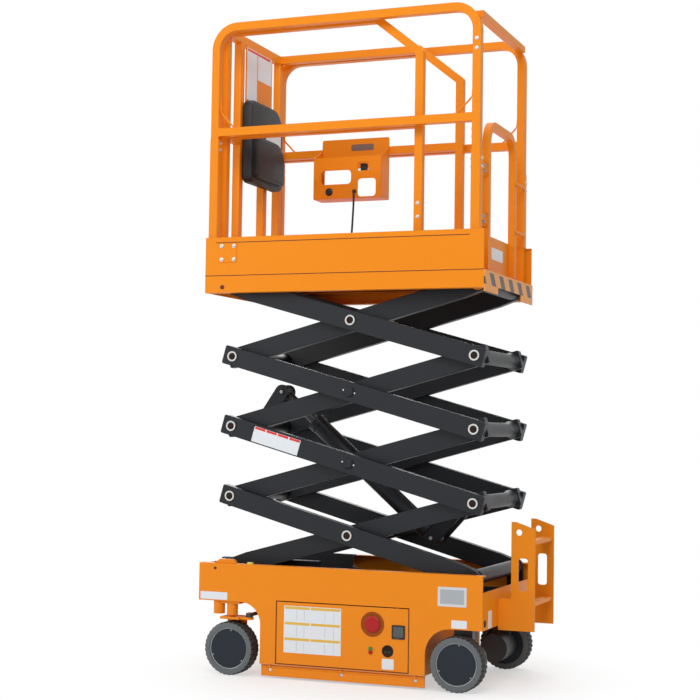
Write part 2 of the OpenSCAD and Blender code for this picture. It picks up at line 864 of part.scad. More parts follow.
gate_w = 426;
gate_top = mid_h;
gate_t = 30;
hinge_d = 14;
hinge_zs = [220, 430];
hinge_y = -gate_w / 2 - 24;
gate_lift = 16;

module gate() {
    color(paint) {
        translate([0, 0, deck_z + gate_lift]) end_slab(gate_x - gate_t / 2, gate_x + gate_t / 2)
            translate([-gate_w / 2, 0]) arch_tube(gate_w, gate_top - gate_lift, 100, gate_t);
        translate([gate_x - gate_t / 2, -gate_w / 2, deck_z + gate_lift]) cube([4, gate_w, toe_h - gate_lift]);
        // Hinge pins held by tabs on the near leg
        for (z = hinge_zs) {
            translate([gate_x, hinge_y, deck_z + z - 30]) cylinder(d = hinge_d, h = 60);
            for (dz = [-30, 18]) translate([gate_x - 6, hinge_y, deck_z + z + dz])
                cube([12, -gate_w / 2 - hinge_y + fuse, 12]);
        }
    }
}

module bumper() {
    bumper_t = 5;
    side = deck_w / 2;
    tab = 190;
    color(paint) end_slab(deck_rear, deck_rear + bumper_t) difference() {
        translate([-side, frame_z - 14]) square([deck_w, frame_h + 14]);
        translate([-side + tab, frame_z - 15]) square([deck_w - 2 * tab, 30]);
    }
}

// Roll-out extension

module extension_deck() {
    color(paint) {
        translate([ext_front, -ext_y, ext_z]) cube([ext_l, ext_w, floor_t]);
        translate([ext_front, -ext_y, ext_z]) cube([sheet_t, ext_w, toe_h]);
        for (s = [0, 1]) mirror([0, s, 0])
            translate([ext_front, -ext_y, ext_z]) cube([ext_l, sheet_t, 90]);
    }
    floor_gland = lead_points[len(lead_points) - 1];
    color(black) translate([floor_gland[0], floor_gland[1], ext_z + floor_t - fuse])
        cylinder(d = gland_d, h = floor_gland[2] - ext_z - floor_t + fuse);
}

inner_top = rail_h - 2;
inner_base = floor_t + slide_gap;
inner_front = ext_front + sheet_t;

// Side rails with a sloped rear corner
module extension_rails() {
    slope_l = 195;
    slope_h = 175;
    h = rail_t / 2;
    back = ext_front + ext_l - h;
    front = inner_front + h;
    color(paint) for (s = [0, 1]) mirror([0, s, 0])
        translate([0, 0, deck_z]) slab(-ext_y + sheet_t, -ext_y + rail_t) {
            translate([front - h, inner_base]) square([rail_t, inner_top - inner_base]);
            translate([front, inner_top - rail_t]) square([back - slope_l - front, rail_t]);
            flat_bar([back - slope_l, inner_top - h], [back, inner_top - slope_h], rail_t);
            translate([back - h, inner_base]) square([rail_t, inner_top - slope_h - inner_base]);
            translate([front, mid_h - rail_t]) square([back - front, rail_t]);
        }
}

// Front rails with two posts, between the side rails
module extension_front() {
    half_in = ext_y - rail_t;
    color(paint) translate([0, 0, deck_z]) end_slab(inner_front, inner_front + rail_t) {
        for (z = [mid_h - rail_t, inner_top - rail_t])
            translate([-half_in, z]) square([2 * half_in, rail_t]);
        for (y = front_posts) translate([y - rail_t / 2, inner_base]) square([rail_t, inner_top - inner_base]);
    }
}

// Middles of the front posts
front_posts = [-145, 110];

module notice_plate() {
    front = ext_front + sheet_t + rail_t;
    color(paint) translate([front, -120, deck_z + 780]) cube([3, 280, 290]);
}

module document_box() {
    front = ext_front + sheet_t + rail_t + 3;
    color(black) translate([0, 0, deck_z]) end_slab(front, front + 70)
        translate([-150, 440]) round_rect(340, 370, 30);
}

// Folded sheet tray on the far mid rail, with a window and a gland for the lead
tray_l = 330;
tray_d = 90;
tray_h = 190;
tray_x = ext_front + 260;
tray_y = ext_y - rail_t - tray_d;
tray_z = deck_z + 395;
gland_d = 20;
gland_l = 14;

module control_tray() {
    color(paint) {
        translate([tray_x, tray_y, tray_z]) cube([tray_l, tray_d, sheet_t]);
        slab(tray_y + tray_d - sheet_t, tray_y + tray_d) translate([tray_x, tray_z]) square([tray_l, 290]);
        slab(tray_y, tray_y + sheet_t) difference() {
            translate([tray_x, tray_z]) square([tray_l, tray_h]);
            translate([tray_x + 190, tray_z + 50]) round_rect(100, 110, 8);
            translate([tray_x + 80, tray_z + 60]) circle(d = 34);
        }
        for (dx = [0, tray_l - sheet_t]) translate([tray_x + dx, tray_y, tray_z]) cube([sheet_t, tray_d, tray_h]);
    }
    color(black) translate([lead_points[0][0], 0, lead_points[0][2]])
        cross_bar(gland_d, lead_points[0][1], tray_y + fuse);
}

// Free lead that hangs from the tray's gland to the gland in the extension's floor
lead_d = 9;
lead_points = [
    [-230, 156, 2118], [-230, 146, 2118], [-227, 134, 2113], [-222, 124, 2101],
    [-218, 118, 2084], [-216, 115, 2066], [-216, 114, 2046], [-217, 114, 2020],
    [-219, 115, 1990], [-221, 116, 1960], [-223, 117, 1930], [-225, 118, 1900],
    [-227, 119, 1870], [-229, 120, 1840], [-230, 120, 1800], [-230, 120, 1760],
    [-230, 120, 1722]
];

// A tube of rings swept along points
module swept_tube(points, d, sides) {
    n = len(points);
    function way(i) = points[min(i + 1, n - 1)] - points[max(i - 1, 0)];
    function unit(v) = v / norm(v);
    ring = [for (i = [0:n - 1]) let (t = unit(way(i)), a = unit(cross(t, [1, 0, 0])), b = cross(t, a))
        for (k = [0:sides - 1]) points[i] + d / 2 * (cos(360 * k / sides) * a + sin(360 * k / sides) * b)];
    quads = [for (i = [0:n - 2], k = [0:sides - 1])
        [i * sides + k, i * sides + (k + 1) % sides, (i + 1) * sides + (k + 1) % sides, (i + 1) * sides + k]];
    cap_a = [for (k = [sides - 1:-1:0]) k];
    cap_b = [for (k = [0:sides - 1]) (n - 1) * sides + k];
    polyhedron(ring, concat(quads, [cap_a, cap_b]), convexity = 6);
}

module control_lead() { color(black) swept_tube(lead_points, lead_d, 8); }

chassis_frame();
front_box();
belly();
rear_box();
side_panel_near();
side_panel_far();
battery_block();
ladder();
drive_units();
front_axle();
door_near();
door_controls();
door_far();
guard_near();
guard_far();
knuckle_near();
knuckle_far();
tie_rod();
tyre_front_near();
disc_front_near();
tyre_front_far();
disc_front_far();
tyre_rear_near();
disc_rear_near();
tyre_rear_far();
disc_rear_far();
outer_arm_1();
inner_arm_1();
outer_arm_2();
inner_arm_2();
outer_arm_3();
inner_arm_3();
outer_arm_4();
inner_arm_4();
base_sliders();
deck_sliders();
lift_barrel();
lift_rod();
deck_frame();
toe_boards();
rail_near();
rail_far();
rear_bar();
bumper();
extension_deck();
extension_rails();
extension_front();
notice_plate();
document_box();
control_tray();
control_lead();
gate();
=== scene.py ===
# Finish of a compact scissor lift: paint, rubber, hardware, plates and the hanging lead, in metres.
import json
import math

import bmesh
import bpy
import numpy as np
from mathutils import Matrix, Vector


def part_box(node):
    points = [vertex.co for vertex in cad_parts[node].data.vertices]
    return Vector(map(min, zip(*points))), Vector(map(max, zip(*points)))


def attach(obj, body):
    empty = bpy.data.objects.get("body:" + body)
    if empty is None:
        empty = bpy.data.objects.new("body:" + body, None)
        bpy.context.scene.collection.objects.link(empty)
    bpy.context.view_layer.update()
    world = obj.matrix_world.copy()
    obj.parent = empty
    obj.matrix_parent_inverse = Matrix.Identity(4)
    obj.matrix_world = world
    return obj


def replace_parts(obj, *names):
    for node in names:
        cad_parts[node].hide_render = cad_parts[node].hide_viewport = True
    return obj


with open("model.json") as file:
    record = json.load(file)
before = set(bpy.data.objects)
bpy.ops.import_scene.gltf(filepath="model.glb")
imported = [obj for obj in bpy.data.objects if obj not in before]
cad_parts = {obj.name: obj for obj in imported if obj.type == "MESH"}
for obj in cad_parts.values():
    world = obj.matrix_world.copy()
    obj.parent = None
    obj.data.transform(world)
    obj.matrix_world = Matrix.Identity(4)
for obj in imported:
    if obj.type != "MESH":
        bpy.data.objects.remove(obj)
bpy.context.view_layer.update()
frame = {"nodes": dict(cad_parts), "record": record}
cadNodes = frame["nodes"]
print("frame loaded with", len(cadNodes), "nodes")


def placeObject(name, data):
    thing = bpy.data.objects.new(name, data)
    bpy.context.scene.collection.objects.link(thing)
    return thing


def nodeBox(name):
    # Lowest and highest corner of a CAD node at rest
    return np.array(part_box(name))


# Camera, at the photograph's viewing angle
cameraView = {
    "place": (2.338, -6.316, 1.035),
    "yaw": 21.71,        # degrees from +Y towards -X
    "pitch": 2.99,       # degrees above level
    "roll": 0.85,
    "focalPixels": 1549,
    "framePixels": 700,
    "sensor": 36.0,
    "farClip": 200,
}


def aimCamera(view):
    # The level right and up axes are turned by the roll about the way ahead
    yaw, pitch, roll = (math.radians(view[key]) for key in ("yaw", "pitch", "roll"))
    ahead = Vector((-math.sin(yaw) * math.cos(pitch), math.cos(yaw) * math.cos(pitch), math.sin(pitch)))
    right = Vector((math.cos(yaw), math.sin(yaw), 0))
    up = right.cross(ahead)
    turnedRight = right * math.cos(roll) + up * math.sin(roll)
    turnedUp = up * math.cos(roll) - right * math.sin(roll)
    lens = bpy.data.cameras.new("studioCamera")
    lens.sensor_width = view["sensor"]
    lens.lens = view["focalPixels"] / view["framePixels"] * view["sensor"]
    lens.clip_end = view["farClip"]
    camera = placeObject("studioCamera", lens)
    axes = Matrix((turnedRight, turnedUp, -ahead)).transposed()
    camera.matrix_world = Matrix.Translation(view["place"]) @ axes.to_4x4()
    bpy.context.scene.camera = camera


aimCamera(cameraView)


# Shader helpers
def addNode(tree, kind, **values):
    node = tree.nodes.new(kind)
    for key, value in values.items():
        setattr(node, key, value)
    return node


def setInputs(tree, node, values):
    # Another node's socket is linked, a number or colour is set
    for key, value in values.items():
        if isinstance(value, bpy.types.NodeSocket):
            tree.links.new(value, node.inputs[key])
        else:
            node.inputs[key].default_value = value


def addMath(tree, operation, first, second):
    node = addNode(tree, "ShaderNodeMath", operation=operation)
    setInputs(tree, node, {0: first, 1: second})
    return node.outputs[0]


def addNoise(tree, place, scale, detail=2.0, rough=0.5):
    node = addNode(tree, "ShaderNodeTexNoise")
    setInputs(tree, node, {"Vector": place, "Scale": scale, "Detail": detail, "Roughness": rough})
    return node.outputs["Fac"]


def mixColour(tree, share, first, second):
    node = addNode(tree, "ShaderNodeMix", data_type="RGBA")
    setInputs(tree, node, {"Factor": share, 6: first, 7: second})
    return node.outputs[2]


def mapRange(tree, value, fromMin, fromMax, toMin, toMax, **values):
    node = addNode(tree, "ShaderNodeMapRange", **values)
    setInputs(tree, node, {"Value": value, "From Min": fromMin, "From Max": fromMax, "To Min": toMin,
                           "To Max": toMax})
    return node.outputs[0]


def objectPlace(tree):
    # Object coordinates, and their X, Y and Z
    place = addNode(tree, "ShaderNodeTexCoord").outputs["Object"]
    split = addNode(tree, "ShaderNodeSeparateXYZ")
    tree.links.new(place, split.inputs[0])
    return place, split.outputs


# Sprayed coat: slow drift in tone, a fine orange-peel surface and dust that thins out with height
coatLook = {
    "inputs": {"Colour": (1, 1, 1, 1), "Drift": 0.06, "Peel": 260.0, "Dust": 0.1, "Roughness": 0.35},
    "cloud": (2.3, 4.0, 0.55),         # scale, detail and roughness of each noise
    "speck": (34.0, 6.0, 0.7),
    "smear": (11.0, 5.0, 0.6),
    "peel": (1.5, 0.5),
    "smearSpread": 0.16,
    "dustFade": (0.0, 0.6, 1.0, 0.15),     # full dust at the floor, 15 % of it from 0.6 m up
    "dustColour": (0.42, 0.38, 0.33, 1),
}


def makeCoatGroup(look):
    # Value = 1 + drift * (cloud - 0.5), roughness = its start + dust + spread * (smear - 0.5)
    group = bpy.data.node_groups.new("sprayedCoat", "ShaderNodeTree")

    def addSocket(key, way):
        kind = "NodeSocketColor" if key == "Colour" else "NodeSocketFloat"
        return group.interface.new_socket(key, in_out=way, socket_type=kind)

    for key, start in look["inputs"].items():
        addSocket(key, "INPUT").default_value = start
    for key in ("Colour", "Roughness", "Height"):
        addSocket(key, "OUTPUT")
    source = group.nodes.new("NodeGroupInput").outputs
    sink = group.nodes.new("NodeGroupOutput")
    place, parts = objectPlace(group)
    cloud = addMath(group, "SUBTRACT", addNoise(group, place, *look["cloud"]), 0.5)
    tone = addMath(group, "ADD", addMath(group, "MULTIPLY", cloud, source["Drift"]), 1.0)
    bright = addNode(group, "ShaderNodeHueSaturation")
    setInputs(group, bright, {"Value": tone, "Color": source["Colour"]})
    fade = mapRange(group, parts["Z"], *look["dustFade"])
    speck = addMath(group, "MULTIPLY", addNoise(group, place, *look["speck"]), fade)
    dust = addMath(group, "MULTIPLY", speck, source["Dust"])
    smear = addMath(group, "SUBTRACT", addNoise(group, place, *look["smear"]), 0.5)
    spread = addMath(group, "ADD", addMath(group, "MULTIPLY", smear, look["smearSpread"]), dust)
    setInputs(group, sink, {
        "Colour": mixColour(group, dust, bright.outputs[0], look["dustColour"]),
        "Roughness": addMath(group, "ADD", spread, source["Roughness"]),
        "Height": addNoise(group, place, source["Peel"], *look["peel"]),
    })
    return group


coatGroup = makeCoatGroup(coatLook)
finishes = {}


def startFinish(name):
    finish = bpy.data.materials.new(name)
    finish.use_nodes = True
    finishes[name] = finish
    return finish.node_tree, finish.node_tree.nodes["Principled BSDF"]


def addBump(tree, height, shader, strength, depth, edge):
    bump = addNode(tree, "ShaderNodeBump")
    setInputs(tree, bump, {"Strength": strength, "Distance": depth, "Height": height})
    tree.links.new(bump.outputs[0], shader.inputs["Normal"])
    if edge > 0:
        bevel = addNode(tree, "ShaderNodeBevel", samples=4)
        bevel.inputs["Radius"].default_value = edge
        tree.links.new(bevel.outputs[0], bump.inputs["Normal"])


def coatFinish(name, colour, rough, drift=0.06, peel=260.0, dust=0.1, bumpDepth=0.0004, metal=0.0, coat=0.0,
               edge=0.0, mirror=0.5):
    tree, shader = startFinish(name)
    coatNode = addNode(tree, "ShaderNodeGroup", node_tree=coatGroup)
    look = coatNode.outputs
    setInputs(tree, coatNode, {"Colour": (*colour, 1), "Drift": drift, "Peel": peel, "Dust": dust,
                               "Roughness": rough})
    setInputs(tree, shader, {"Base Color": look["Colour"], "Roughness": look["Roughness"], "Metallic": metal,
                             "Specular IOR Level": mirror, "Coat Weight": coat, "Coat Roughness": 0.12})
    addBump(tree, coatNode.outputs["Height"], shader, 0.12, bumpDepth, edge)
    return tree, coatNode


labelCoat = dict(rough=0.36, drift=0.03, dust=0.03, bumpDepth=0.0001)
coats = {
    "orangePaint": dict(colour=(0.82, 0.245, 0.004), rough=0.42, dust=0.05, edge=0.0025, mirror=0.2),
    "charcoalPaint": dict(colour=(0.0062, 0.0080, 0.0115), rough=0.46, drift=0.2, dust=0.012, edge=0.003,
                          mirror=0.35),
    "blackMoulding": dict(colour=(0.012, 0.012, 0.013), rough=0.48, peel=520.0, dust=0.02, bumpDepth=0.0008,
                          edge=0.003, mirror=0.3),
    "tyreWall": dict(colour=(0.100, 0.114, 0.122), rough=0.70, peel=420.0, dust=0.10, bumpDepth=0.0010),
    "tyreTread": dict(colour=(0.022, 0.024, 0.026), rough=0.78, peel=420.0, dust=0.06, bumpDepth=0.0012),
    "navyDisc": dict(colour=(0.011, 0.017, 0.026), rough=0.45, dust=0.02, mirror=0.25),
    "zincPlate": dict(colour=(0.62, 0.63, 0.64), rough=0.34, metal=1.0, dust=0.02),
    "paleRing": dict(colour=(0.62, 0.62, 0.60), rough=0.42, dust=0.02),
    "darkSteel": dict(colour=(0.05, 0.052, 0.055), rough=0.42, metal=0.6, dust=0.03),
    "greyBox": dict(colour=(0.06, 0.065, 0.07), rough=0.5),
    "whiteLabel": dict(labelCoat, colour=(0.72, 0.76, 0.80)),
    "yellowLabel": dict(labelCoat, colour=(0.72, 0.44, 0.04)),
    "redLabel": dict(labelCoat, colour=(0.70, 0.03, 0.02), dust=0.02),
    "greyLabel": dict(labelCoat, colour=(0.38, 0.41, 0.44)),
    "redButton": dict(colour=(0.40, 0.004, 0.005), rough=0.34, dust=0.0, mirror=0.35),
    # Painted shade: a darker orange for the shaded dish round the stop button
    "shadedOrange": dict(colour=(0.30, 0.062, 0.002), rough=0.55, dust=0.0, mirror=0.2),
    # Painted shade: grey-brown for the shaded inside of the tray's hand slot
    "coverShade": dict(colour=(0.20, 0.125, 0.10), rough=0.5, dust=0.0, mirror=0.25),
    # Painted shade: near black for the shaded insides of holes and hollow pin ends
    "deepShade": dict(colour=(0.014, 0.006, 0.003), rough=0.6, dust=0.0, mirror=0.2),
    "greenButton": dict(colour=(0.03, 0.22, 0.03), rough=0.35, dust=0.01),
    # Painted shade: dark red-brown for the shade in gaps, seams and small holes
    "seamShade": dict(colour=(0.10, 0.012, 0.002), rough=0.7, dust=0.0),
    "bubbleYellow": dict(colour=(0.75, 0.62, 0.10), rough=0.15, dust=0.0, coat=0.8),
}
for coatName, coatValues in coats.items():
    coatFinish(coatName, **coatValues)

# Bumper paint: dark stripes that lean across a yellow plate
stripes = {"pitch": 0.138, "lean": 0.8, "share": 0.55, "top": 1.684, "low": 1.634, "rough": 0.45,
           "grain": 300.0, "dark": (0.045, 0.04, 0.035, 1), "yellow": (0.80, 0.30, 0.03, 1)}


def stripeFinish(look):
    # Dark where the fraction of (y + lean * z) / pitch is over the share, between the low and the top
    tree, shader = startFinish("stripedBumper")
    place, parts = objectPlace(tree)
    slant = addMath(tree, "ADD", parts["Y"], addMath(tree, "MULTIPLY", parts["Z"], look["lean"]))
    share = addMath(tree, "FRACT", addMath(tree, "DIVIDE", slant, look["pitch"]), 0.0)
    below = addMath(tree, "LESS_THAN", parts["Z"], look["top"])
    above = addMath(tree, "GREATER_THAN", parts["Z"], look["low"])
    dark = addMath(tree, "MULTIPLY", addMath(tree, "GREATER_THAN", share, look["share"]),
                   addMath(tree, "MULTIPLY", below, above))
    colour = mixColour(tree, dark, look["yellow"], look["dark"])
    setInputs(tree, shader, {"Base Color": colour, "Roughness": look["rough"]})
    addBump(tree, addNoise(tree, place, look["grain"]), shader, 0.1, 0.0004, 0.0015)


stripeFinish(stripes)

# Rear box: the pin lugs ahead of the rear plate and above the floor plate are dark like the arms
lugPaint = {"plate": coats["orangePaint"]["colour"], "lug": coats["charcoalPaint"]["colour"],
            "behind": 0.010, "above": 0.012}


def lugFinish(look):
    low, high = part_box("rear_box")
    tree, coatNode = coatFinish("rearBoxPaint", look["plate"], 0.42, dust=0.03, edge=0.0025, mirror=0.2)
    parts = objectPlace(tree)[1]
    ahead = addMath(tree, "LESS_THAN", parts["X"], high[0] - look["behind"])
    raised = addMath(tree, "GREATER_THAN", parts["Z"], low[2] + look["above"])
    colour = mixColour(tree, addMath(tree, "MULTIPLY", ahead, raised), (*look["plate"], 1), (*look["lug"], 1))
    tree.links.new(colour, coatNode.inputs["Colour"])


lugFinish(lugPaint)
print("finishes made:", len(finishes))

wheelNames = [f"{end}_{side}" for end in ("front", "rear") for side in ("near", "far")]
nodeFinish = {
    "charcoalPaint": [f"{kind}_arm_{level}" for kind in ("outer", "inner") for level in (1, 2, 3, 4)]
    + ["lift_barrel", "chassis_frame"],
    "blackMoulding": ["base_sliders", "deck_sliders", "document_box", "door_controls"],
    "darkSteel": ["drive_units", "tie_rod", "lift_rod"],
    "greyBox": ["battery_block"],
    "tyreTread": ["tyre_" + name for name in wheelNames],
    "navyDisc": ["disc_" + name for name in wheelNames],
    "stripedBumper": ["bumper"],
    "rearBoxPaint": ["rear_box"],
}


def dressNodes(chosen):
    finishOf = {node: finish for finish, names in chosen.items() for node in names}
    for name, piece in cadNodes.items():
        piece.data.materials.clear()
        piece.data.materials.append(finishes[finishOf.get(name, "orangePaint")])


dressNodes(nodeFinish)

# Hanging lead from the control tray to the extension's floor
leadRoute = {
    "points": [
        (-0.230, 0.156, 2.118), (-0.228, 0.146, 2.117), (-0.224, 0.134, 2.112), (-0.220, 0.124, 2.100),
        (-0.217, 0.118, 2.084), (-0.216, 0.115, 2.066), (-0.216, 0.114, 2.046), (-0.217, 0.114, 2.020),
        (-0.219, 0.115, 1.990), (-0.221, 0.116, 1.960), (-0.223, 0.117, 1.930), (-0.225, 0.118, 1.900),
        (-0.227, 0.119, 1.870), (-0.229, 0.120, 1.840), (-0.230, 0.120, 1.800), (-0.230, 0.120, 1.760),
        (-0.230, 0.120, 1.722),
    ],
    "diameter": 0.009,
}


def hangLead(route):
    points = np.array(route["points"])
    curve = bpy.data.curves.new("controlLead", "CURVE")
    curve.dimensions = "3D"
    curve.bevel_depth = route["diameter"] / 2
    curve.bevel_resolution = 4
    line = curve.splines.new("POLY")
    line.points.add(len(points) - 1)
    line.points.foreach_set("co", np.column_stack([points, np.ones(len(points))]).ravel())
    line.use_smooth = True
    lead = placeObject("controlLead", curve)
    curve.materials.append(finishes["blackMoulding"])
    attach(lead, "extension")
    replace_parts(lead, "control_lead")


hangLead(leadRoute)


# Meshes for hardware, each as its corners and faces
def gridFaces(rows, sides, ring=False):
    # Face = corners k and k + 1 of one row and the same of the next.
    # A ring's last row joins its first, otherwise both ends are filled.
    k = np.arange(sides)
    after = np.roll(k, -1)
    this = np.arange(rows if ring else rows - 1)[:, None] * sides
    above = (this + sides) % (rows * sides)
    walls = np.stack([this + k, this + after, above + after, above + k], axis=-1).reshape(-1, 4).tolist()
    return walls if ring else [k[::-1].tolist(), (k + (rows - 1) * sides).tolist()] + walls


def latheShape(centre, axis, profile, sides, ring=False):
    # Corner = centre + height * axis + radius * (cos t * side + sin t * other), profile = (radius, height)
    axis = np.array(axis, float)
    side = np.cross(axis, (0, 0, 1)) if abs(axis[2]) < 0.9 else np.array((1.0, 0, 0))
    side = side / np.linalg.norm(side)
    other = np.cross(axis, side)
    turn = np.linspace(0, 2 * math.pi, sides, endpoint=False)[:, None]
    circle = np.cos(turn) * side + np.sin(turn) * other
    radius, height = np.array(profile, float).T[:, :, None, None]
    corners = np.array(centre) + height * axis + radius * circle
    return corners.reshape(-1, 3), gridFaces(len(profile), sides, ring)


def tubeShape(points, radius, sides=10):
    # Corner = path point + radius * (cos t * side + sin t * other), with both sides square to the path
    points = np.array(points, float)
    way = np.gradient(points, axis=0)
    way /= np.linalg.norm(way, axis=1)[:, None]
    helper = np.where(np.abs(way[:, 2:]) < 0.9, (0.0, 0.0, 1.0), (1.0, 0.0, 0.0))
    side = np.cross(way, helper)
    side /= np.linalg.norm(side, axis=1)[:, None]
    other = np.cross(way, side)
    turn = np.linspace(0, 2 * math.pi, sides, endpoint=False)[:, None]
    rings = points[:, None] + radius * (np.cos(turn) * side[:, None] + np.sin(turn) * other[:, None])
    return rings.reshape(-1, 3), gridFaces(len(points), sides)


def loftShape(rows):
    # Closed outlines of equal length joined one after the other
    return np.concatenate(rows), gridFaces(len(rows), len(rows[0]))


def ovalLine(low, high, radius, steps=6):
    # Flat rectangle whose corners are arcs, centre + radius * (cos t, sin t), with one radius or four
    signs = np.array(((1, 1), (-1, 1), (-1, -1), (1, -1)))
    radii = np.broadcast_to(radius, 4)[:, None]
    centres = np.where(signs > 0, high, low) - signs * radii
    turn = np.linspace(0, math.pi / 2, steps) + np.arange(4)[:, None] * math.pi / 2
    arcs = np.stack([np.cos(turn), np.sin(turn)], axis=-1)
    return (centres[:, None] + radii[:, None] * arcs).reshape(-1, 2)


def plateShape(corner, across, up, out, radius=0.003):
    # A rounded rectangle in the plane of across and up, and the same again moved by out
    across, up, out = (np.array(v, float) for v in (across, up, out))
    wide, tall = np.linalg.norm(across), np.linalg.norm(up)
    radius = min(radius, wide / 2.01, tall / 2.01)     # stays under half of each side
    line = ovalLine((0, 0), (wide, tall), radius, 5)
    flat = np.array(corner) + line[:, :1] * across / wide + line[:, 1:] * up / tall
    return loftShape([flat, flat + out])


def cutSheet(outlines, thick, corner, across, up):
    # Flat outlines, the first the edge and the others holes, filled and made thick along across x up
    curve = bpy.data.curves.new("cutSheet", "CURVE")
    curve.dimensions = "2D"
    curve.fill_mode = "BOTH"
    curve.extrude = thick / 2
    for outline in outlines:
        line = curve.splines.new("POLY")
        line.points.add(len(outline) - 1)
        flat = np.column_stack([outline, np.zeros(len(outline)), np.ones(len(outline))])
        line.points.foreach_set("co", flat.ravel())
        line.use_cyclic_u = True
    holder = bpy.data.objects.new("cutSheet", curve)
    mesh = bpy.data.meshes.new_from_object(holder)
    work = bmesh.new()
    work.from_mesh(mesh)
    bmesh.ops.remove_doubles(work, verts=work.verts, dist=1e-5)
    axes = np.array((across, up, np.cross(across, up)), float)
    flat = np.array([vertex.co for vertex in work.verts]) + (0, 0, thick / 2)
    points = np.array(corner) + flat @ axes
    for vertex, place in zip(work.verts, points):
        vertex.co = place
    bmesh.ops.recalc_face_normals(work, faces=work.faces)
    faces = [[vertex.index for vertex in face.verts] for face in work.faces]
    work.free()
    bpy.data.objects.remove(holder)
    bpy.data.curves.remove(curve)
    bpy.data.meshes.remove(mesh)
    return points, faces


def addPiece(name, shapes, finish, body, smooth=False):
    corners, faces, start = [], [], 0
    for points, sides in shapes:
        corners.append(points)
        faces += [(np.array(face) + start).tolist() for face in sides]
        start += len(points)
    mesh = bpy.data.meshes.new(name)
    mesh.from_pydata(np.concatenate(corners).tolist(), [], faces)
    mesh.update()
    mesh.materials.append(finishes[finish])
    piece = placeObject(name, mesh)
    if smooth:
        mesh.shade_smooth()
        mesh.set_sharp_from_angle(angle=math.radians(38))
    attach(piece, body)
    return piece


def addTurned(name, places, axis, profile, steps, finish, body):
    # The same turned shape at each place, as one piece
    return addPiece(name, [latheShape(place, axis, profile, steps) for place in places], finish, body, True)


def boltShape(place, axis, size):
    washer = [(size * 0.75, 0), (size * 0.75, size * 0.12), (size * 0.7, size * 0.16)]
    head = [(size * 0.5, size * 0.16), (size * 0.5, size * 0.5), (size * 0.42, size * 0.58)]
    return [latheShape(place, axis, washer, 20), latheShape(place, axis, head, 6)]


# Places taken from the frame
jointPlaces = {joint["name"]: joint.get("pos_m") for joint in frame["record"]["behaviour"]["joints"]}
rightX, baseZ = jointPlaces["lift"][0], jointPlaces["lift"][2]
leftX = jointPlaces["link_1_2"][0]
middleX = jointPlaces["cross_1"][0]
stageRise = (jointPlaces["deck_level"][2] - baseZ) / 4
armTilt = math.atan2(stageRise, rightX - leftX)
pinFace = nodeBox("outer_arm_2")[1][1]
tubeFace = pinFace - 0.004             # the outer tubes' face lies behind the pins' ends
innerFace = nodeBox("inner_arm_2")[1][1]
sideFace = nodeBox("side_panel_near")[0][1]
chassisRear = nodeBox("rear_box")[1][0]
deckLow, deckHigh = nodeBox("deck_frame")
deckFront, deckRear, deckHalf = deckLow[0], deckHigh[0], abs(deckLow[1])
deckZ = nodeBox("toe_boards")[0][2]
railLow, railHigh = nodeBox("rail_near")
railOut, railPost = abs(railLow[1]), railHigh[1] - railLow[1]
bothSides = (-1, 1)                    # near and far, as signs of Y


def levelZ(level):
    return baseZ + level * stageRise


def armAxes(lean):
    # Along an arm to the right, and square to it: lean 1 rises to the right and -1 falls
    way = np.array((math.cos(armTilt), 0, lean * math.sin(armTilt)))
    rise = np.array((-lean * math.sin(armTilt), 0, math.cos(armTilt)))
    return way, rise


def nearPlate(x, z, wide, tall, thick, radius=0.003, back=0.0):
    # A plate on the near panel, which starts that far behind its face
    return plateShape((x, sideFace + back, z), (wide, 0, 0), (0, 0, tall), (0, -thick, 0), radius)


def rearPlate(place, wide, tall, thick, radius):
    # A plate that faces the rear
    return plateShape(place, (0, wide, 0), (0, 0, tall), (thick, 0, 0), radius)


# Rings on the pivot pins, pale with a middle painted as shade, and plain caps with two screws where the
# cylinder passes
pinHardware = {
    "ring": [(0.0152, -0.001), (0.0218, -0.001), (0.0218, 0.00072), (0.0208, 0.0012), (0.0162, 0.0012),
             (0.0152, 0.00048)],
    "end": [(0.0149, -0.001), (0.0149, 0.0002), (0.0142, 0.0004)],
    "cap": [(0.021, 0), (0.021, 0.003), (0.018, 0.006)],
    "screw": [(0.004, 0), (0.004, 0.002), (0.003, 0.003)], "screwSpread": 0.026,
    "finish": {"pinRings": "paleRing", "pinEndShade": "deepShade", "pinCaps": "charcoalPaint",
               "capScrews": "zincPlate"},
}


def pivotPlaces():
    for level in (1, 2, 3):
        yield f"outer_arm_{level}", leftX, levelZ(level), True
        yield f"outer_arm_{level + 1}", rightX, levelZ(level), True
    for level in (1, 2, 3, 4):
        yield f"outer_arm_{level}", middleX, levelZ(level - 0.5), level in (1, 4)


def dressPivots(look):
    made = {kind: {} for kind in look["finish"]}

    def keep(kind, body, *values):
        made[kind].setdefault(body, []).append(latheShape(*values))

    way = armAxes(-1)[0]
    for body, x, z, ringed in pivotPlaces():
        for side in bothSides:
            place, axis = (x, side * pinFace, z), (0, side, 0)
            if ringed:
                keep("pinRings", body, place, axis, look["ring"], 48, True)
                keep("pinEndShade", body, place, axis, look["end"], 40)
                continue
            keep("pinCaps", body, place, axis, look["cap"], 40)
            for end in (-1, 1):
                spot = (x, side * tubeFace, z) + end * look["screwSpread"] * way
                keep("capScrews", body, spot, axis, look["screw"], 12)
    for kind, bodies in made.items():
        for body, shapes in bodies.items():
            addPiece(f"{kind}_{body}", shapes, look["finish"][kind], body, True)


dressPivots(pinHardware)
print("pivots dressed")

# Bright ends of the cylinder's pins: level of the arm, place along and square to it, and the pin's outer face
cylinderPins = {"inner_arm_1": (0, 0.829, -0.088, 0.061), "inner_arm_3": (2, 0.148, 0.120, 0.044)}
pinButton = [(0.0075, -0.001), (0.0075, 0.001), (0.006, 0.0018)]


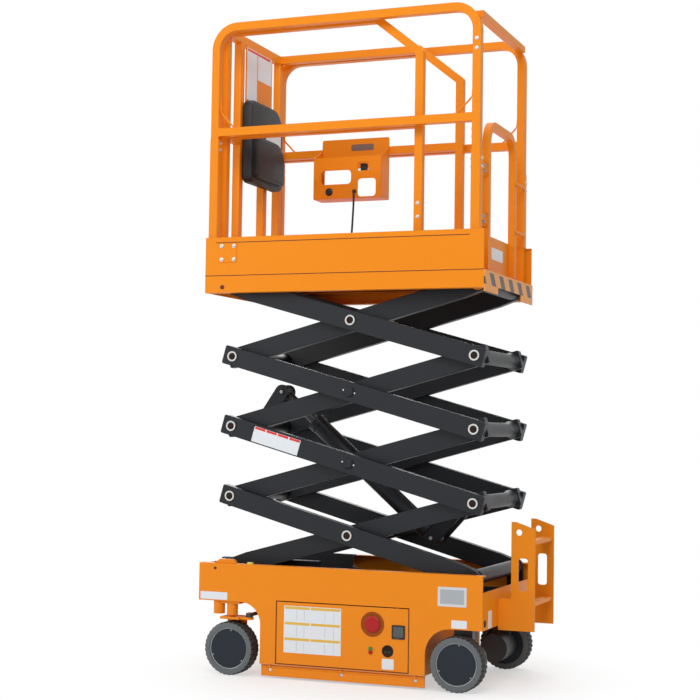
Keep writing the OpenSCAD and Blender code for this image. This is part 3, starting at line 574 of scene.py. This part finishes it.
def addCylinderPins(pins):
    way, rise = armAxes(1)
    for body, (level, along, square, face) in pins.items():
        middle = np.array((leftX, 0, levelZ(level))) + along * way + square * rise
        shapes = [latheShape(middle + (0, side * face, 0), (0, side, 0), pinButton, 24) for side in bothSides]
        addPiece(f"cylinderPin_{body}", shapes, "paleRing", body, True)


addCylinderPins(cylinderPins)

# Flared collars where the cross tubes meet the open arm ends
crossCollars = {"flare": [(0.0302, 0), (0.0322, 0.012), (0.039, 0.026), (0.039, 0.030)], "inside": 0.0705}


def addCollars(look):
    for level in (1, 2, 3):
        for end, x, arm in (("left", leftX, level + 1), ("right", rightX, level)):
            shapes = []
            for side in bothSides:
                place = (x, side * (innerFace - look["inside"]), levelZ(level))
                shapes.append(latheShape(place, (0, side, 0), look["flare"], 40))
            addPiece(f"armCollars_{level}_{end}", shapes, "charcoalPaint", f"inner_arm_{arm}", True)


addCollars(crossCollars)

# Square ends of the arm tubes, which fill the corners that the tapered solids leave beside the pins
armEnds = {"over": 0.042, "taper": 0.070, "round": 0.034, "half": 0.040, "width": 0.040, "corner": 0.005}


def endOutline(look):
    # From the taper's start along the tube's edge, round the square end and back along the solid's round end
    turn = np.linspace(math.pi * 1.5, math.pi * 0.5, 25)
    inner = look["round"] * np.column_stack([np.cos(turn), np.sin(turn)])
    over, half, corner = look["over"], look["half"], look["corner"]
    edge = [(look["taper"], half), (-over + corner, half), (-over, half - corner), (-over, -half + corner),
            (-over + corner, -half), (look["taper"], -half)]
    return np.concatenate([edge, inner])


def addArmEnds(look):
    outline, width = endOutline(look), look["width"]
    for kind, face, lean in (("outer", tubeFace, -1), ("inner", innerFace, 1)):
        way, rise = armAxes(lean)
        for level in (1, 2, 3, 4):
            leftLevel, rightLevel = (level, level - 1) if kind == "outer" else (level - 1, level)
            shapes = []
            for x, atLevel, along in ((leftX, leftLevel, way), (rightX, rightLevel, -way)):
                if atLevel in (0, 4):
                    continue           # the base's and the deck's own pins
                grows = np.cross(along, rise)[1] > 0
                for y in (-face, face - width):
                    start = (x, y if grows else y + width, levelZ(atLevel))
                    shapes.append(cutSheet([outline], width, start, along, rise))
            addPiece(f"armEnds_{kind}_{level}", shapes, "charcoalPaint", f"{kind}_arm_{level}")


addArmEnds(armEnds)
print("arm ends squared")

# Blank sheet on the second outer arm, with its header bands
armSheet = {"along": (0.109, 0.331), "across": (-0.035, 0.031), "thick": 0.0006, "proud": 0.0001,
            "bands": 4, "band": 0.010, "gap": 0.003, "edge": 0.001, "bandThick": 0.0010}


def addArmSheet(look):
    way, rise = armAxes(-1)
    (near, far), (low, high) = look["along"], look["across"]
    start = np.array((leftX, -tubeFace - look["proud"], levelZ(2))) + near * way
    long, tall = (far - near) * way, (high - low) * rise
    sheet = plateShape(start + low * rise, long, tall, (0, -look["thick"], 0), 0.002)
    addPiece("armSheet", [sheet], "whiteLabel", "outer_arm_2")
    step = (far - near) / look["bands"]
    bands = []
    for k in range(look["bands"]):
        corner = start + (look["gap"] + k * step) * way + (high - look["band"] - look["edge"]) * rise
        bands.append(plateShape(corner, (step - 2 * look["gap"]) * way, look["band"] * rise,
                                (0, -look["bandThick"], 0), 0.001))
    addPiece("armSheetBands", bands, "redLabel", "outer_arm_2")


addArmSheet(armSheet)

# Wheels: a tyre with lugs round its shoulders, and a flat disc with a rim line and three clips
wheelLook = {
    "lugs": 34, "lugSteps": 6, "gapSteps": 2, "lugDepth": 0.0042, "shoulder": 0.010,
    "bore": 0.0155, "land": 0.02, "rim": 0.0865, "rimLine": 0.0045, "groove": 0.003, "treadRows": (2, 8),
    "clip": [(0.0028, -0.001), (0.0028, 0.0008), (0.002, 0.0014)], "clipIn": 0.009,
    "clipTurns": (82, 202, 322),
}


def tyreShape(centre, radius, half, look):
    # Radius of a corner = profile radius - lugDepth * tread share, in the gaps between two lugs
    shoulder, rim = look["shoulder"], look["rim"]
    outer = [(rim, half, 0), (radius * 0.93, half, 0), (radius * 0.965, half - 0.001, 0.5),
             (radius, half - shoulder, 1), (radius, half * 0.35, 1), (radius, half * 0.30, 0)]
    inner = [(ring, -along, tread) for ring, along, tread in outer]
    ring, along, tread = np.array(inner + outer[::-1]).T[:, :, None]
    steps = look["lugs"] * look["lugSteps"]
    turn = np.arange(steps) * 2 * math.pi / steps
    gap = np.arange(steps) % look["lugSteps"] < look["gapSteps"]
    reach = ring - look["lugDepth"] * tread * gap
    corners = np.stack([reach * np.cos(turn), along + 0 * reach, reach * np.sin(turn)], axis=-1)
    # The turn runs the other way about Y, so each face does too
    faces = [(a, d, c, b) for a, b, c, d in gridFaces(len(ring), steps, True)]
    return centre + corners.reshape(-1, 3), faces, np.arange(len(faces)) // steps


def addWheel(name, look):
    low, high = nodeBox(f"tyre_{name}")
    centre, half = (low + high) / 2, (high[1] - low[1]) / 2
    body = f"wheel_{name}"
    corners, faces, rows = tyreShape(centre, (high[0] - low[0]) / 2, half, look)
    tyre = addPiece(f"tyre_{body}", [(corners, faces)], "tyreWall", body, True)
    tyre.data.materials.append(finishes["tyreTread"])
    tread = (rows >= look["treadRows"][0]) & (rows <= look["treadRows"][1])
    tyre.data.polygons.foreach_set("material_index", tread.astype(np.int32))
    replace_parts(tyre, f"tyre_{name}")
    outward = -1 if name.endswith("near") else 1
    face = nodeBox(f"disc_{name}")[0 if outward < 0 else 1][1]
    axis = (0, outward, 0)
    back = centre - (0, outward * half * 0.8, 0)
    depth = abs(face - back[1])
    rim, step, sunk = look["rim"], look["rim"] - look["rimLine"], depth - look["groove"]
    plate = [(look["bore"], 0), (rim - 0.0004, 0), (rim - 0.0004, sunk), (step, sunk), (step - 0.001, depth),
             (look["land"], depth), (look["bore"], depth)]
    disc = addPiece(f"disc_{body}", [latheShape(back, axis, plate, 72)], "navyDisc", body, True)
    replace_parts(disc, f"disc_{name}")
    line = [(step, sunk), (rim - 0.0005, sunk), (rim - 0.0005, depth - 0.001), (step, depth - 0.0014)]
    clips = [latheShape(back, axis, line, 72, True)]
    reach = rim - look["clipIn"]
    for t in np.radians(look["clipTurns"]):
        spot = (centre[0] + reach * math.cos(t), face, centre[2] + reach * math.sin(t))
        clips.append(latheShape(spot, axis, look["clip"], 12))
    addPiece(f"rimLine_{body}", clips, "greyLabel", body, True)


for wheelName in wheelNames:
    addWheel(wheelName, wheelLook)
print("wheels made")

# Ground controls on the near door: places (x, z) and profiles (radius, height) of the turned pieces
groundControls = {
    "stop": (0.0897, 0.2513), "key": (0.083, 0.1458), "socket": (0.1568, 0.1468), "keyUp": 0.006,
    "keyDown": -0.007, "pinSpread": (-0.008, 0.008), "pinDown": -0.004, "meter": (0.1745, 0.1975, 0.056),
    "recess": [(0.0505, -0.001), (0.0505, 0.0016), (0.047, 0.0022), (0.043, 0.0006)],
    "well": [(0.0245, -0.001), (0.0245, 0.0014), (0.0225, 0.0020), (0.0205, 0.0006)],
    "mushroom": [(0.018, 0), (0.018, 0.0022), (0.0325, 0.0026), (0.0335, 0.0044), (0.031, 0.0060),
                 (0.024, 0.0068), (0.014, 0.0064), (0.012, 0.0060), (0.001, 0.0060)],
    "lamp": [(0.009, 0), (0.009, 0.003), (0.0075, 0.005)],
    "pin": [(0.004, 0), (0.004, 0.0012), (0.003, 0.0016)],
}


def addGroundControls(look):
    def add(name, profile, steps, finish, control, dz=0.0, spread=(0.0,)):
        x, z = look[control]
        places = [(x + dx, sideFace, z + dz) for dx in spread]
        return addTurned(name, places, (0, -1, 0), look[profile], steps, finish, "door_near")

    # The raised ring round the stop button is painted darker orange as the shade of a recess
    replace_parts(add("stopRecess", "recess", 64, "shadedOrange", "stop"), "door_controls")
    # The socket's well is painted near black as the shade inside it
    add("socketWell", "well", 48, "deepShade", "socket")
    add("stopButton", "mushroom", 64, "redButton", "stop")
    x, z, wide = look["meter"]
    addPiece("meterCase", [nearPlate(x, z, wide, wide, 0.004, 0.004, 0.001)], "blackMoulding", "door_near")
    glass = [nearPlate(x + 0.006, z + 0.008, wide - 0.012, wide - 0.014, 0.0006, 0.003, -0.0029),
             nearPlate(x + 0.008, z + 0.003, wide - 0.03, 0.003, 0.0006, 0.001, -0.0029)]
    addPiece("meterGlass", glass, "greyBox", "door_near")
    add("keyUpper", "lamp", 32, "greenButton", "key", look["keyUp"])
    add("keyLower", "lamp", 32, "redButton", "key", look["keyDown"])
    add("socketPins", "pin", 16, "darkSteel", "socket", look["pinDown"], look["pinSpread"])


addGroundControls(groundControls)

# Blank labels on the near side: start corner (x, z), width, height, finish and body
sideLabels = {
    "frontLabel": (-0.6937, 0.3138, 0.1258, 0.032, "whiteLabel", "chassis"),
    "rearLabel": (0.426, 0.2554, 0.0645, 0.032, "whiteLabel", "chassis"),
    "makerPlate": (0.3679, 0.3402, 0.1206, 0.0776, "zincPlate", "chassis"),
    "chargeLabel": (0.1329, 0.0734, 0.051, 0.0424, "whiteLabel", "door_near"),
    "doorSheet": (-0.3038, 0.1127, 0.2558, 0.1934, "whiteLabel", "door_near"),
}


def addSideLabels(labels):
    for name, (x, z, wide, tall, finish, body) in labels.items():
        addPiece(name, [nearPlate(x, z, wide, tall, 0.0009, back=0.0002)], finish, body)


addSideLabels(sideLabels)

# Fields of the door's sheet: three rows of two, each with a header band and two upright lines
sheetFields = {"rows": 3, "columns": ((0.0, 0.46, 0.006), (0.46, 0.54, 0.008)), "margin": 0.004,
               "band": 0.010, "bandDrop": 0.013, "lines": (0.48, 0.78), "line": 0.0012, "lineUp": 0.006,
               "lineShort": 0.024}


def addSheetFields(look, x, z, wide, tall):
    bands, lines = [], []
    rowTall = tall / look["rows"]
    for row in range(look["rows"]):
        top = z + tall - row * rowTall
        for start, share, gap in look["columns"]:
            left, span = x + look["margin"] + start * wide, share * wide - gap
            bands.append(nearPlate(left, top - look["bandDrop"], span, look["band"], 0.0013, 0.001))
            for split in look["lines"]:
                lines.append(nearPlate(left + span * split, top - rowTall + look["lineUp"], look["line"],
                                       rowTall - look["lineShort"], 0.0011, 0.0004))
    addPiece("doorSheetBands", bands, "yellowLabel", "door_near")
    addPiece("doorSheetLines", lines, "greyLabel", "door_near")


addSheetFields(sheetFields, *sideLabels["doorSheet"][:4])

# Rivets and field of the blank plate, the strip on the rear plate, and a ring there painted as the shade of a
# hole
plateLook = {"rivetIn": 0.006, "rivet": [(0.003, 0), (0.0025, 0.001), (0.001, 0.0015)], "fieldIn": 0.010,
             "strip": (-0.300, 0.252, 0.048, 0.070), "hole": (-0.345, 0.276),
             "holeRim": [(0.015, -0.001), (0.015, 0.0006), (0.013, 0.0008)]}


def addPlateDetail(look, x, z, wide, tall):
    inset, field = look["rivetIn"], look["fieldIn"]
    spots = [(x + dx, sideFace - 0.0007, z + dz)
             for dx in (inset, wide - inset) for dz in (inset, tall - inset)]
    addTurned("plateRivets", spots, (0, -1, 0), look["rivet"], 12, "zincPlate", "chassis")
    middle = nearPlate(x + field, z + field, wide - 2 * field, tall - 2 * field, 0.0010, 0.002)
    addPiece("plateField", [middle], "greyLabel", "chassis")
    y, z, wide, tall = look["strip"]
    strip = rearPlate((chassisRear, y, z), wide, tall, 0.0009, 0.002)
    addPiece("rearStrip", [strip], "whiteLabel", "chassis")
    spot = (chassisRear, *look["hole"])
    # A ring painted near black stands for the shade inside the hole
    addTurned("rearHole", [spot], (1, 0, 0), look["holeRim"], 32, "deepShade", "chassis")


addPlateDetail(plateLook, *sideLabels["makerPlate"][:4])

# Painted shade in the gaps round the near door: in front of it, behind it and below it
doorGapLook = {"front": 0.0045, "rear": 0.0036, "rearOff": 0.0004, "rearShort": 0.01, "below": 0.003,
               "belowOff": 0.0034, "over": 0.004, "thick": 0.0005}


def addDoorGaps(look):
    (x0, _, z0), (x1, _, z1) = nodeBox("door_near")
    thick, over = look["thick"], look["over"]
    gaps = [nearPlate(x0 - look["front"], z0, look["front"], z1 - z0, thick, thick),
            nearPlate(x1 + look["rearOff"], z0, look["rear"], z1 - z0 - look["rearShort"], thick, thick),
            nearPlate(x0 - over, z0 - look["belowOff"], x1 - x0 + 2 * over, look["below"], thick, thick)]
    addPiece("doorGaps", gaps, "seamShade", "chassis")


addDoorGaps(doorGapLook)
print("labels placed")

# Painted shade along the seams where the toe boards meet the deck's frame and under their folded edge
seams = {"height": 0.0030, "thick": 0.0006, "round": 0.0005, "deckDrop": 0.0015, "fold": 0.1405,
         "foldIn": 0.04, "foldLong": 1.14}


def addSeams(look):
    shapes = []
    for side in bothSides:
        for x, long, z in ((deckFront, deckRear - deckFront, deckZ - look["deckDrop"]),
                           (railLow[0] + look["foldIn"], look["foldLong"], deckZ + look["fold"])):
            shapes.append(plateShape((x, side * deckHalf, z), (long, 0, 0), (0, 0, look["height"]),
                                     (0, side * look["thick"], 0), look["round"]))
    addPiece("deckSeams", shapes, "seamShade", "platform")


addSeams(seams)

# Bolts on rails, sleeves and deck: head sizes, and heights above the deck's floor
bolts = {"rail": 0.011, "deck": 0.012, "stand": 0.003, "front": (0.55, 0.58), "rear": (0.422, 0.455),
         "rearInside": (0.545, 0.576), "rearSide": (0.905, 0.945), "cornerX": (0.077, 0.135),
         "cornerZ": (0.069, 0.127), "cornerPlate": 0.0018, "extension": (0.233, 0.29), "extensionIn": 0.018}


def addBolts(look):
    front, rear, stand = railLow[0] + railPost, railHigh[0], look["stand"]
    zinc, own = [], []
    for side in bothSides:
        y, across = side * (railOut - railPost / 2), (0, side, 0)
        for x, axis, heights in ((front + stand, 1, "front"), (rear - railPost - stand, -1, "rear"),
                                 (rear + stand, 1, "rear"), (rear - railPost, -1, "rearInside")):
            for z in look[heights]:
                zinc += boltShape((x, y, deckZ + z), (axis, 0, 0), look["rail"])
        for z in look["rearSide"]:
            zinc += boltShape((rear - railPost / 2, side * railOut, deckZ + z), across, look["rail"])
        for x in look["cornerX"]:
            for z in look["cornerZ"]:
                place = (deckFront + x, side * (deckHalf + look["cornerPlate"]), deckZ + z)
                zinc += boltShape(place, across, look["deck"])
        low, high = nodeBox("extension_rails")
        for z in look["extension"]:
            place = (high[0] - look["extensionIn"], side * abs(low[1]), deckZ + z)
            own += boltShape(place, across, look["rail"])
    addPiece("deckBolts", zinc, "zincPlate", "platform", True)
    addPiece("extensionBolts", own, "zincPlate", "extension", True)


addBolts(bolts)

# Coil springs round the gate's hinge pins
gateSprings = {"radius": 0.0090, "wire": 0.0016, "turns": 4, "steps": 12, "long": 0.010,
               "heights": (0.220, 0.430), "starts": (-0.0165, 0.0065)}


def addSprings(look):
    # Point = hinge + radius * (cos t, sin t), rising evenly over the spring's length
    x, y = jointPlaces["gate_swing"][:2]
    share = np.linspace(0, 1, look["steps"] * look["turns"])
    angle = share * 2 * math.pi * look["turns"]
    coil = np.column_stack([x + look["radius"] * np.cos(angle), y + look["radius"] * np.sin(angle),
                            deckZ + look["long"] * share])
    shapes = [tubeShape(coil + (0, 0, height + start), look["wire"], 6)
              for height in look["heights"] for start in look["starts"]]
    addPiece("gateSprings", shapes, "greyLabel", "gate", True)


addSprings(gateSprings)

# Blank sheets on the notice plate: y, height above its foot, width and height
sheets = {"notice": [(-0.110, 0.040, 0.105, 0.235), (0.005, 0.150, 0.145, 0.125)], "band": 0.011,
          "bandDrop": 0.014, "bandIn": 0.003, "bandLong": 2.3}


def addSheets(look):
    low, high = nodeBox("notice_plate")
    face, foot = high[0], low[2]
    shapes = [rearPlate((face, y, foot + z), wide, tall, 0.0007, 0.002)
              for y, z, wide, tall in look["notice"]]
    addPiece("noticeSheets", shapes, "whiteLabel", "extension")
    y, z, wide, tall = look["notice"][0]
    place = (face, y + look["bandIn"], foot + z + tall - look["bandDrop"])
    band = rearPlate(place, look["bandLong"] * wide, look["band"], 0.0010, 0.001)
    addPiece("noticeBand", [band], "redLabel", "extension")


addSheets(sheets)

# Control tray of folded sheet: windows, a hand slot painted as shade on a thin plate, and knob by their
# places from its lower left corner
trayLook = {
    "sheet": 0.003, "front": 0.19, "sideRise": 0.05, "knobAt": (0.078, 0.032),
    "windows": [((0.036, 0.066), (0.184, 0.130), 0.018), ((0.217, 0.006), (0.304, 0.088), 0.016),
                ((0.217, 0.124), (0.267, 0.163), 0.004)],
    "backWindows": [((0.012, 0.020), (0.150, 0.152), 0.012), ((0.168, 0.020), (0.290, 0.152), 0.012)],
    "slot": ((0.144, 0.234), (0.254, 0.264), 0.008), "slotThick": 0.0008,
    "knob": [(0.0175, 0), (0.0175, 0.003), (0.014, 0.0055), (0.004, 0.0062)],
    "gland": [(0.006, -0.006), (0.010, 0), (0.010, 0.014)],
    "switchAt": (0.222, 0.02, 0.126), "switch": (0.026, 0.025, 0.034),
}


def addTray(look):
    low, high = nodeBox("control_tray")
    gland = leadRoute["points"][0]
    wide, tall, sheet = high[0] - low[0], high[2] - low[2], look["sheet"]
    front, back = gland[1], high[1]
    inside = back - front - 2 * sheet
    across, toBack, up = np.eye(3)
    start, rear = (low[0], front + sheet, low[2]), (low[0], back, low[2])
    face = [ovalLine((0, 0), (wide, look["front"]), 0.004)] + [ovalLine(*hole) for hole in look["windows"]]
    wall = [ovalLine((0, 0), (wide, tall), 0.010)] + [ovalLine(*hole) for hole in look["backWindows"]]
    floor = [ovalLine((0, 0), (wide, inside), 0.001)]
    shapes = [cutSheet(face, sheet, start, across, up), cutSheet(wall, sheet, rear, across, up),
              cutSheet(floor, sheet, start, across, toBack)]
    backTop = look["front"] + look["sideRise"]
    cheek = [(0, sheet), (inside, sheet), (inside, backTop), (0, look["front"])]
    for x in (low[0], high[0] - sheet):
        shapes.append(cutSheet([cheek], sheet, (x, *start[1:]), toBack, up))
    tray = addPiece("controlTray", shapes, "orangePaint", "extension")
    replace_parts(tray, "control_tray")
    # The hand slot is no hole: a thin plate painted with the slot's shade
    slot = cutSheet([ovalLine(*look["slot"])], look["slotThick"], (low[0], back - sheet, low[2]), across, up)
    addPiece("traySlot", [slot], "coverShade", "extension")
    x, z = look["knobAt"]
    knobs = [latheShape((low[0] + x, front, low[2] + z), (0, -1, 0), look["knob"], 32),
             latheShape(gland, (0, 1, 0), look["gland"], 24)]
    addPiece("trayKnob", knobs, "blackMoulding", "extension", True)
    place = (low[0], front, low[2]) + np.array(look["switchAt"])
    wide, deep, tall = look["switch"]
    case = plateShape(place, wide * across, tall * up, deep * toBack, 0.003)
    addPiece("traySwitch", [case], "blackMoulding", "extension")


addTray(trayLook)

# Moulded document holder: outlines (inset, depth) that step in towards its face, with a lower pocket panel
holderLook = {
    "steps": [(0.006, 0.0), (0.0, 0.006), (0.0, 0.040), (0.004, 0.046), (0.012, 0.048)],
    "pocket": [(0.022, 0.047), (0.022, 0.063), (0.026, 0.068), (0.036, 0.070)], "pocketTop": 0.62,
    "corners": (0.10, 0.035, 0.03, 0.03),      # the far upper corner has the large curve
    "cornerShrink": 0.6, "paper": (0.16, 0.055), "paperAt": (0.0485, 0.15, -0.03),
}


def addHolder(look):
    low, high = nodeBox("document_box")

    def outline(inset, depth, top):
        radii = np.array(look["corners"]) - look["cornerShrink"] * inset
        line = ovalLine(low[1:] + inset, np.array((high[1], top)) - inset, radii, 9)
        return np.column_stack([np.full(len(line), low[0] + depth), line])

    pocketTop = low[2] + look["pocketTop"] * (high[2] - low[2])
    shell = loftShape([outline(*step, high[2]) for step in look["steps"]])
    pocket = loftShape([outline(*step, pocketTop) for step in look["pocket"]])
    holder = addPiece("documentHolder", [shell, pocket], "blackMoulding", "extension", True)
    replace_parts(holder, "document_box")
    place = np.array((low[0], low[1], pocketTop)) + look["paperAt"]
    addPiece("heldPapers", [rearPlate(place, *look["paper"], 0.001, 0.003)], "whiteLabel", "extension")


addHolder(holderLook)

# Sockets round the lower posts, bent gussets at the mid rail and the bolted plate at the deck's front corner
railLook = {
    "wall": 0.003, "fit": 0.0005, "proud": 0.001, "frontTop": 0.596, "rearTop": 0.494, "midTop": 0.642,
    "bar": 0.004, "plateAt": (0.064, 0.056), "plate": 0.084, "plateThick": 0.0018,
    # A gusset's points, out from the post and up from the mid rail
    "gusset": [(0.0, 0.125), (0.004, 0.070), (0.012, 0.060), (0.062, 0.008), (0.070, 0.0)],
}


def addRailFittings(look):
    sockets, gussets, plates = [], [], []
    toeTop = nodeBox("toe_boards")[1][2]
    wall, fit, thick = look["wall"], look["fit"], look["plateThick"]
    for side in bothSides:
        outer, inner = side * railOut, side * (railOut - railPost)
        low, high = min(outer, inner), max(outer, inner)
        edgeLow, edgeHigh = sorted((outer + side * look["proud"], inner - side * wall))
        for start, top, ahead in ((railLow[0], "frontTop", 1), (railHigh[0] - railPost, "rearTop", -1)):
            end = start + railPost
            edge = ovalLine((start - wall, edgeLow), (end + wall, edgeHigh), 0.004)
            hole = ovalLine((start + fit, low + fit), (end - fit, high - fit), fit)
            tall = deckZ + look[top] - toeTop
            sockets.append(cutSheet([edge, hole], tall, (0, 0, toeTop), (1, 0, 0), (0, 1, 0)))
            out, rise = np.array(look["gusset"]).T
            face = end if ahead > 0 else start
            line = np.column_stack([face + ahead * out, np.full(len(out), (outer + inner) / 2),
                                    deckZ + look["midTop"] + rise])
            gussets.append(tubeShape(line, look["bar"], 8))
        corner = np.array((deckFront, deckZ)) + look["plateAt"]
        face = -deckHalf if side < 0 else deckHalf + thick
        flat = ovalLine(corner, corner + look["plate"], 0.006)
        plates.append(cutSheet([flat], thick, (0, face, 0), (1, 0, 0), (0, 0, 1)))
    addPiece("postSockets", sockets, "orangePaint", "platform")
    addPiece("railGussets", gussets, "orangePaint", "platform", True)
    addPiece("cornerPlates", plates, "orangePaint", "platform")


addRailFittings(railLook)
print("rails fitted")

# Small parts on the chassis, the deck's frame and the gate
smallParts = {
    "levelAt": (-0.472, 0.02), "level": [(0.014, 0), (0.014, 0.006), (0.011, 0.009), (0.002, 0.0095)],
    "stopAhead": 0.062, "stopFoot": 0.2535, "stop": [(0.023, 0), (0.024, 0.002), (0.024, 0.0575)],
    "lug": [(-0.634, 0.4665), (-0.610, 0.485), (-0.548, 0.485), (-0.530, 0.4665)], "lugThick": 0.020,
    "lugY": (-0.350, 0.370),
    "sideHoleAt": (-0.627, 0.446), "sideHole": [(0.0065, -0.001), (0.0065, 0.0004), (0.006, 0.0005)],
    "frameHoleAt": (0.082, -0.050), "frameHole": [(0.010, -0.001), (0.010, 0.0004), (0.009, 0.0005)],
    "labelAt": (0.004, -0.08, 0.072), "label": (0.17, 0.050),
}


def addSmallParts(look):
    upward, nearward = (0, 0, 1), (0, -1, 0)
    x, inside = look["levelAt"]
    spot = (x, sideFace + inside, nodeBox("side_panel_near")[1][2])
    addTurned("bubbleLevel", [spot], upward, look["level"], 32, "bubbleYellow", "chassis")
    x, y = jointPlaces["steer"][:2]
    spots = [(x - look["stopAhead"], side * abs(y), look["stopFoot"]) for side in bothSides]
    addTurned("steerStops", spots, upward, look["stop"], 40, "orangePaint", "chassis")
    lugs = [cutSheet([look["lug"]], look["lugThick"], (0, y, 0), (1, 0, 0), (0, 0, 1)) for y in look["lugY"]]
    addPiece("topLugs", lugs, "orangePaint", "chassis")
    # The side hole and the frame hole below are discs painted as the shade inside a hole
    x, z = look["sideHoleAt"]
    addTurned("sideHoles", [(x, sideFace, z)], nearward, look["sideHole"], 24, "seamShade", "chassis")
    x, z = look["frameHoleAt"]
    spot = (deckFront + x, -deckHalf, deckZ + z)
    addTurned("frameHole", [spot], nearward, look["frameHole"], 24, "seamShade", "platform")
    place = (nodeBox("gate")[0][0], 0, deckZ) + np.array(look["labelAt"])
    addPiece("gateLabel", [rearPlate(place, *look["label"], 0.0008, 0.003)], "whiteLabel", "gate")


addSmallParts(smallParts)
print("hardware placed")

# Studio: a pale floor that turns into plain white light away from the machine, and a white world
studio = {"floorSize": 60.0, "floorColour": (0.90, 0.90, 0.90, 1), "floorRough": 0.9, "worldLight": 0.42,
          "clearWithin": 0.45, "whiteBeyond": 1.15, "glow": 0.5}


def seenRay(tree):
    path = addNode(tree, "ShaderNodeLightPath").outputs
    seen = addMath(tree, "MAXIMUM", path["Is Camera Ray"], path["Is Glossy Ray"])
    return addMath(tree, "MAXIMUM", seen, path["Is Transmission Ray"])


def makeStudio(setup):
    half = setup["floorSize"] / 2
    mesh = bpy.data.meshes.new("studioFloor")
    corners = [(-half, -half, 0), (half, -half, 0), (half, half, 0), (-half, half, 0)]
    mesh.from_pydata(corners, [], [(0, 1, 2, 3)])
    floor = placeObject("studioFloor", mesh)
    tree, shader = startFinish("paleFloor")
    setInputs(tree, shader, {"Base Color": setup["floorColour"], "Roughness": setup["floorRough"]})
    distance = addNode(tree, "ShaderNodeVectorMath", operation="LENGTH")
    tree.links.new(addNode(tree, "ShaderNodeTexCoord").outputs["Object"], distance.inputs[0])
    fade = mapRange(tree, distance.outputs["Value"], setup["clearWithin"], setup["whiteBeyond"],
                    setup["glow"], 1.0, interpolation_type="SMOOTHSTEP")
    glow = addNode(tree, "ShaderNodeEmission")
    blend = addNode(tree, "ShaderNodeMixShader")
    share = addMath(tree, "MULTIPLY", fade, seenRay(tree))
    setInputs(tree, blend, {0: share, 1: shader.outputs[0], 2: glow.outputs[0]})
    tree.links.new(blend.outputs[0], tree.nodes["Material Output"].inputs["Surface"])
    mesh.materials.append(finishes["paleFloor"])
    world = bpy.data.worlds.new("studioWorld")
    bpy.context.scene.world = world
    world.use_nodes = True
    sky = world.node_tree
    strength = mapRange(sky, seenRay(sky), 0.0, 1.0, setup["worldLight"], 1.0)
    setInputs(sky, sky.nodes["Background"], {"Color": (1, 1, 1, 1), "Strength": strength})


lampSetup = {
    "keyLamp": {"place": (1.2, -5.5, 5.2), "aim": (0, 0, 1.3), "size": 3.0, "power": 190},
    "fillLamp": {"place": (-4.5, -3.5, 3.0), "aim": (0, 0, 1.2), "size": 3.0, "power": 75},
    "backLamp": {"place": (-2.5, 5.5, 4.0), "aim": (0, 0, 1.3), "size": 3.5, "power": 130},
    "topLamp": {"place": (0.5, 0.5, 6.5), "aim": (0, 0, 1.0), "size": 4.0, "power": 110},
}


def placeLamps(setup):
    for name, lamp in setup.items():
        light = bpy.data.lights.new(name, "AREA")
        light.size = lamp["size"]
        light.energy = lamp["power"]
        holder = placeObject(name, light)
        holder.location = lamp["place"]
        way = Vector(lamp["aim"]) - Vector(lamp["place"])
        holder.rotation_euler = way.to_track_quat("-Z", "Y").to_euler()


makeStudio(studio)
placeLamps(lampSetup)
bpy.context.scene.view_settings.view_transform = "Standard"
print("studio lit")
